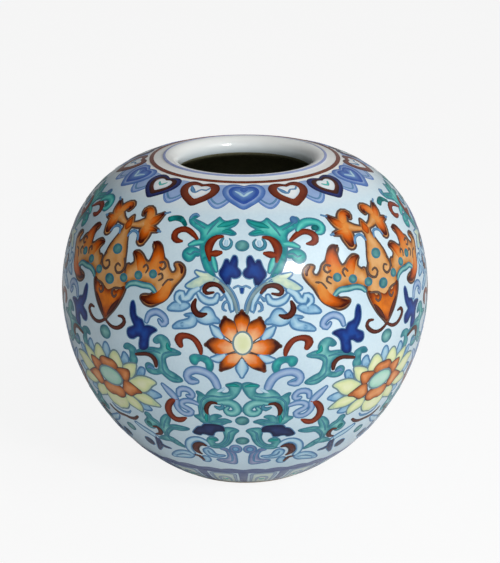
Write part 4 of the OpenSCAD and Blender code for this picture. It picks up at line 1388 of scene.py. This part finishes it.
    def band_section(self, low: float, high: float) -> list[Point]:
        """Section of a painted band round the pot, between two climbs."""
        climbs = self.climbs(low, high)
        return ([WALL.section(climb, self.paint) for climb in climbs]
                + [WALL.section(climb, -self.paint_sunk) for climb in climbs[::-1]])

    def line_section(self) -> list[Point]:
        """Section of the painted line on the bead, a sixth of the bead's radius out from its crest."""
        reach = self.bead + self.glaze
        low, high = (math.degrees(math.acos((self.bead / 6 + width) / reach))
                     for width in (self.line_width, 0.0))
        return (self.bead_arc(reach + self.line_paint, low, high)
                + self.bead_arc(reach - self.paint_sunk, high, low))

    def floor_points(self, reach: float, coat: float) -> list[Point]:
        """Points on the dished floor, from a reach to the middle, raised by a coat."""
        count = self.floor_steps
        radii = [reach * (1 - k / count) for k in range(count + 1)]
        middle = self.floor_height + coat + self.dish_arc
        return [(max(radius, self.pinhole), middle - math.sqrt(self.dish_arc ** 2 - radius ** 2))
                for radius in radii]

    def base_section(self) -> list[Point]:
        """Section of the glaze in the recess under the pot."""
        radius = WALL.foot_radius - self.foot_rim
        top = self.foot_height
        under = top - self.glaze
        return [(radius, self.bare_foot), (radius, top), (self.pinhole, top), (self.pinhole, under),
                (radius - self.glaze, under), (radius - self.glaze, self.bare_foot)]

    def foot_section(self) -> list[Point]:
        """Section of the bare foot ring, its outer edges eased by the potter's knife."""
        outside = [WALL.section(climb, -self.glaze) for climb in
                   self.climbs(WALL.climb_at_height(self.foot_ease), WALL.climb_at_height(self.foot_height))]
        inner = WALL.foot_radius - self.foot_rim
        return [(outside[0][0] - self.foot_ease, 0.0), *outside, (inner, self.foot_height),
                (inner, self.foot_bevel), (inner + self.foot_bevel, 0.0)]

    def build(self) -> None:
        """Turn the coats and the foot, and dress what shows and what is hidden."""
        pale = PALE_GLAZE.material()
        # The inside glaze carries painted shade: it is coloured dark for the hollow's shadow
        dark = INNER_SHADE_GLAZE.material()
        biscuit = BISCUIT.material()
        clay = PORCELAIN.material()
        settle(self.spin("outside_glaze", self.outer_section()), pale, "pale_glaze", "outer_glaze")
        settle(self.spin("inside_glaze", self.inner_section()), dark, "inner_glaze", "inner_glaze")
        settle(self.spin("recess_glaze", self.base_section()), pale, "pale_glaze", "base_glaze")
        settle(self.spin("bare_foot", self.foot_section()), biscuit, "bare_porcelain", "foot_ring")
        self.rings()
        for name in ("lower_bowl", "luting_seam", "upper_bowl", "lip_ring"):
            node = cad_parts[name]
            node.data.materials.clear()
            node.data.materials.append(clay)

    def rings(self) -> None:
        """Turn the painted rings: on the bead, round the lip and at the foot."""
        lip = WALL.climb_at_radius(WALL.lip_radius)
        red = self.band_section(WALL.climb_at_radius(self.red_ring_radius), lip - self.red_ring_gap)
        line = WALL.climb_at_height(self.foot_line_height)
        foot = self.band_section(line - self.foot_line_half, line + self.foot_line_half)
        for enamel, section in ((LIP_LINE, self.line_section()), (LIP_RED, red), (FOOT_LINE, foot)):
            ring = self.spin(enamel.piece, section)
            tone = ring.data.attributes.new(TONE, "FLOAT", "POINT")
            tone.data.foreach_set("value", [Coat.EVEN_TONE] * len(ring.data.vertices))
            settle(ring, enamel.material(), enamel.slot, *enamel.nodes)


@dataclass
class Painting:
    """All the enamel and blue on the pot's outside, with its axes as turns and its lifts in mm."""

    lotus_axes: tuple[float, ...] = (-0.9, 90.6, 180.4, 269.9)
    bat_axes: tuple[float, ...] = (46.2, 135.0, 225.0, 314.7)
    bat_lifts: tuple[float, ...] = (-0.7, 0.0, 0.0, 0.7)
    heart_axis: float = -0.5
    heart_count: int = 16
    panel_axis: float = -0.9
    panel_count: int = 18
    coats: dict[str, Coat] = field(default_factory=dict)

    def coat(self, name: str) -> Coat:
        """The coat of a colour."""
        return self.coats.setdefault(name, Coat(ENAMELS[name]))

    def put(self, mark: Mark, lay: Lay) -> None:
        """Lay one mark, and its colour's outline under it."""
        coat = self.coat(mark.enamel)
        enamel = coat.enamel
        line = self.coat(enamel.edge) if enamel.edge and mark.edged else None
        if mark.closed:
            outline = coat.fill(mark.points, lay, mark.layer, mark.shade)
            if line:
                ribbon = [(turn, climb, 2 * enamel.edge_width) for turn, climb in outline]
                line.brush(ribbon, lay, mark.layer, Shade.EVEN, closed=True, outline=True)
        else:
            coat.brush(mark.points, lay, mark.layer, mark.shade)
            if line:
                wider = [(turn, climb, width + 2 * enamel.edge_width)
                         for turn, climb, width in mark.points]
                line.brush(wider, lay, mark.layer, Shade.EVEN, outline=True)

    @staticmethod
    def eighth(lotus: float, bat: float, lift: float) -> Lay:
        """Lay of the eighth between a lotus axis and a bat axis, where the pattern has risen by a lift."""
        def lay(turn: float, climb: float) -> Point:
            """Turn on the pot and climb of a place in the eighth."""
            share = turn / EIGHTH_TURN
            return lotus + (bat - lotus) * share, climb + lift * min(1.0, max(0.0, share))
        return lay

    @staticmethod
    def about(axis: float, lift: float = 0.0) -> Lay:
        """Lay of what stands on an axis."""
        return lambda turn, climb: (axis + turn, climb + lift)

    def put_all(self, marks: Iterable[Mark], lay: Lay) -> None:
        """Lay marks one after another."""
        for mark in marks:
            self.put(mark, lay)

    def pattern(self) -> None:
        """Lay the lotus, bat and scroll pattern all round."""
        bats = list(zip(self.bat_axes, self.bat_lifts))
        for number, lotus in enumerate(self.lotus_axes):
            (right, right_lift), (left, left_lift) = bats[number], bats[number - 1]
            left -= 360 if left > lotus else 0
            self.put_all((*EIGHTH, *RIGHT_CURLS), self.eighth(lotus, right, right_lift))
            self.put_all((*EIGHTH, *LEFT_CURLS), self.eighth(lotus, left, left_lift))
            self.put_all(LOTUS_MIDDLE, self.about(lotus))
        for bat, lift in bats:
            self.put_all(BAT_MIDDLE, self.about(bat, lift))

    def collar(self) -> None:
        """Lay the collar of hearts, whose colours go blue, red, navy outwards from the front."""
        half = self.heart_count // 2
        spacing = 360 / self.heart_count
        for number in range(1 - half, 1 + half):
            axis = self.heart_axis + number * spacing
            self.put_all(HEARTS[abs(number) % len(HEARTS)], self.about(axis))
            self.put_all(LAPPET, self.about(axis + spacing / 2))

    def panels(self) -> None:
        """Lay the panels round the foot."""
        for number in range(self.panel_count):
            self.put_all(PANEL, self.about(self.panel_axis + number * 360 / self.panel_count))

    def build(self) -> None:
        """Paint the pot and make a piece of each colour."""
        self.pattern()
        self.collar()
        self.panels()
        for coat in self.coats.values():
            enamel = coat.enamel
            settle(coat.piece(), enamel.material(), enamel.slot, *enamel.nodes)


@dataclass(frozen=True)
class Lamp:
    """A soft rectangular lamp: place, width and height in metres, power in watts, colour."""

    name: str
    place: tuple[float, float, float]
    width: float
    height: float
    power: float
    colour: Colour


WHITE = (1.0, 1.0, 1.0, 1.0)
WARM_WHITE = (1.0, 0.99, 0.97)
COOL_WHITE = (0.95, 0.98, 1.0)
LAMPS = (
    Lamp("window", (0.30, -0.46, 0.39), 0.13, 0.11, 1.5, WARM_WHITE),
    Lamp("key", (0.60, -0.40, 0.60), 0.5, 0.5, 1.8, WARM_WHITE),
    Lamp("fill", (0.1, -0.9, 0.5), 0.6, 0.6, 1.25, COOL_WHITE),
)


@dataclass
class Studio:
    """Floor, light and camera, in metres and in the photograph's pixels."""

    target: Vector = field(default_factory=lambda: Vector((0.0, 0.0, 0.044)))
    distance: float = 0.430
    elevation: float = math.radians(20.08)
    focal_px: float = 1554.0
    frame_px: tuple[int, int] = (500, 563)
    axis_px: Point = (245.0, 303.5)
    sensor: float = 36.0
    near_clip: float = 0.01
    floor_size: float = 6.0
    floor_roughness: float = 0.9
    floor_glow: float = 0.88
    # The sky's light goes from dark to light between two values of its direction's X
    sky_left: float = -0.95
    sky_right: float = 0.4
    sky_dark: float = 0.06
    sky_light: float = 0.38

    def camera(self) -> None:
        """Set the camera where the photograph was taken from, aimed at the middle of its frame."""
        back = Vector((0.0, -math.cos(self.elevation), math.sin(self.elevation)))
        place = self.target + back * self.distance
        ahead, right = -back, Vector((1.0, 0.0, 0.0))
        up = right.cross(ahead)
        across = (self.frame_px[0] / 2 - self.axis_px[0]) / self.focal_px
        above = (self.axis_px[1] - self.frame_px[1] / 2) / self.focal_px
        aim = (ahead + right * across + up * above).normalized()
        bpy.ops.object.camera_add(location=place, rotation=aim.to_track_quat("-Z", "Y").to_euler())
        camera = bpy.context.object
        camera.name = "camera"
        camera.data.sensor_width = self.sensor
        camera.data.lens = self.focal_px * self.sensor / max(self.frame_px)
        camera.data.clip_start = self.near_clip
        bpy.context.scene.camera = camera

    def hang(self, lamp: Lamp) -> None:
        """Hang a lamp that faces the pot."""
        at = Vector(lamp.place)
        turn = (self.target - at).to_track_quat("-Z", "Y").to_euler()
        bpy.ops.object.light_add(type="AREA", location=at, rotation=turn)
        hung = bpy.context.object
        hung.name = lamp.name
        hung.data.shape = "RECTANGLE"
        hung.data.size = lamp.width
        hung.data.size_y = lamp.height
        hung.data.energy = lamp.power
        hung.data.color = lamp.colour

    def floor(self) -> None:
        """Lay a plain pale floor that keeps the pot's shadow."""
        bpy.ops.object.select_all(action="DESELECT")
        bpy.ops.mesh.primitive_plane_add(size=self.floor_size, location=(0, 0, 0))
        floor = bpy.context.object
        floor.name = "floor"
        shader = Shader(bpy.data.materials.new("pale_floor"))
        paper = shader.ramp(shader.noise(PAPER), (0.3, ink(246, 246, 246)), (0.7, ink(240, 240, 240)))
        floor.data.materials.append(shader.finish(Base_Color=paper, Roughness=self.floor_roughness))
        seen = shader.node("ShaderNodeLightPath", {}, {}, "Is Camera Ray")
        matt = Wire(shader, shader.surface.outputs[0])
        glow = shader.node("ShaderNodeEmission", {}, {"Color": WHITE, "Strength": 1.0})
        mix = shader.node("ShaderNodeMixShader", {}, {0: seen * self.floor_glow, 1: matt, 2: glow})
        shader.feed(shader.find("OUTPUT_MATERIAL").inputs["Surface"], mix)

    def sky(self) -> None:
        """White all round for the camera. As light on the pot it is dimmer, and dark on the left."""
        shader = Shader(bpy.data.worlds.new("studio"))
        way = shader.node("ShaderNodeTexCoord", {}, {}, "Generated")
        across = shader.node("ShaderNodeSeparateXYZ", {}, {0: way}, "X")
        light = shader.node("ShaderNodeMapRange", {}, {
            "Value": across, "From Min": self.sky_left, "From Max": self.sky_right,
            "To Min": self.sky_dark, "To Max": self.sky_light})
        seen = shader.node("ShaderNodeLightPath", {}, {}, "Is Camera Ray")
        level = shader.node("ShaderNodeMapRange", {}, {"Value": seen, "To Min": light, "To Max": 1.0})
        bpy.context.scene.world = shader.finish(Color=WHITE, Strength=level)

    def build(self) -> None:
        """Set up the studio."""
        bpy.context.scene.view_settings.view_transform = "Standard"
        self.floor()
        self.sky()
        for lamp in LAMPS:
            self.hang(lamp)
        self.camera()


def main() -> None:
    """Build the pot, its painting and the studio."""
    logging.basicConfig(level=logging.INFO, format="%(name)s %(message)s")
    Pot().build()
    Painting().build()
    Studio().build()


if __name__ == "__main__":
    main()
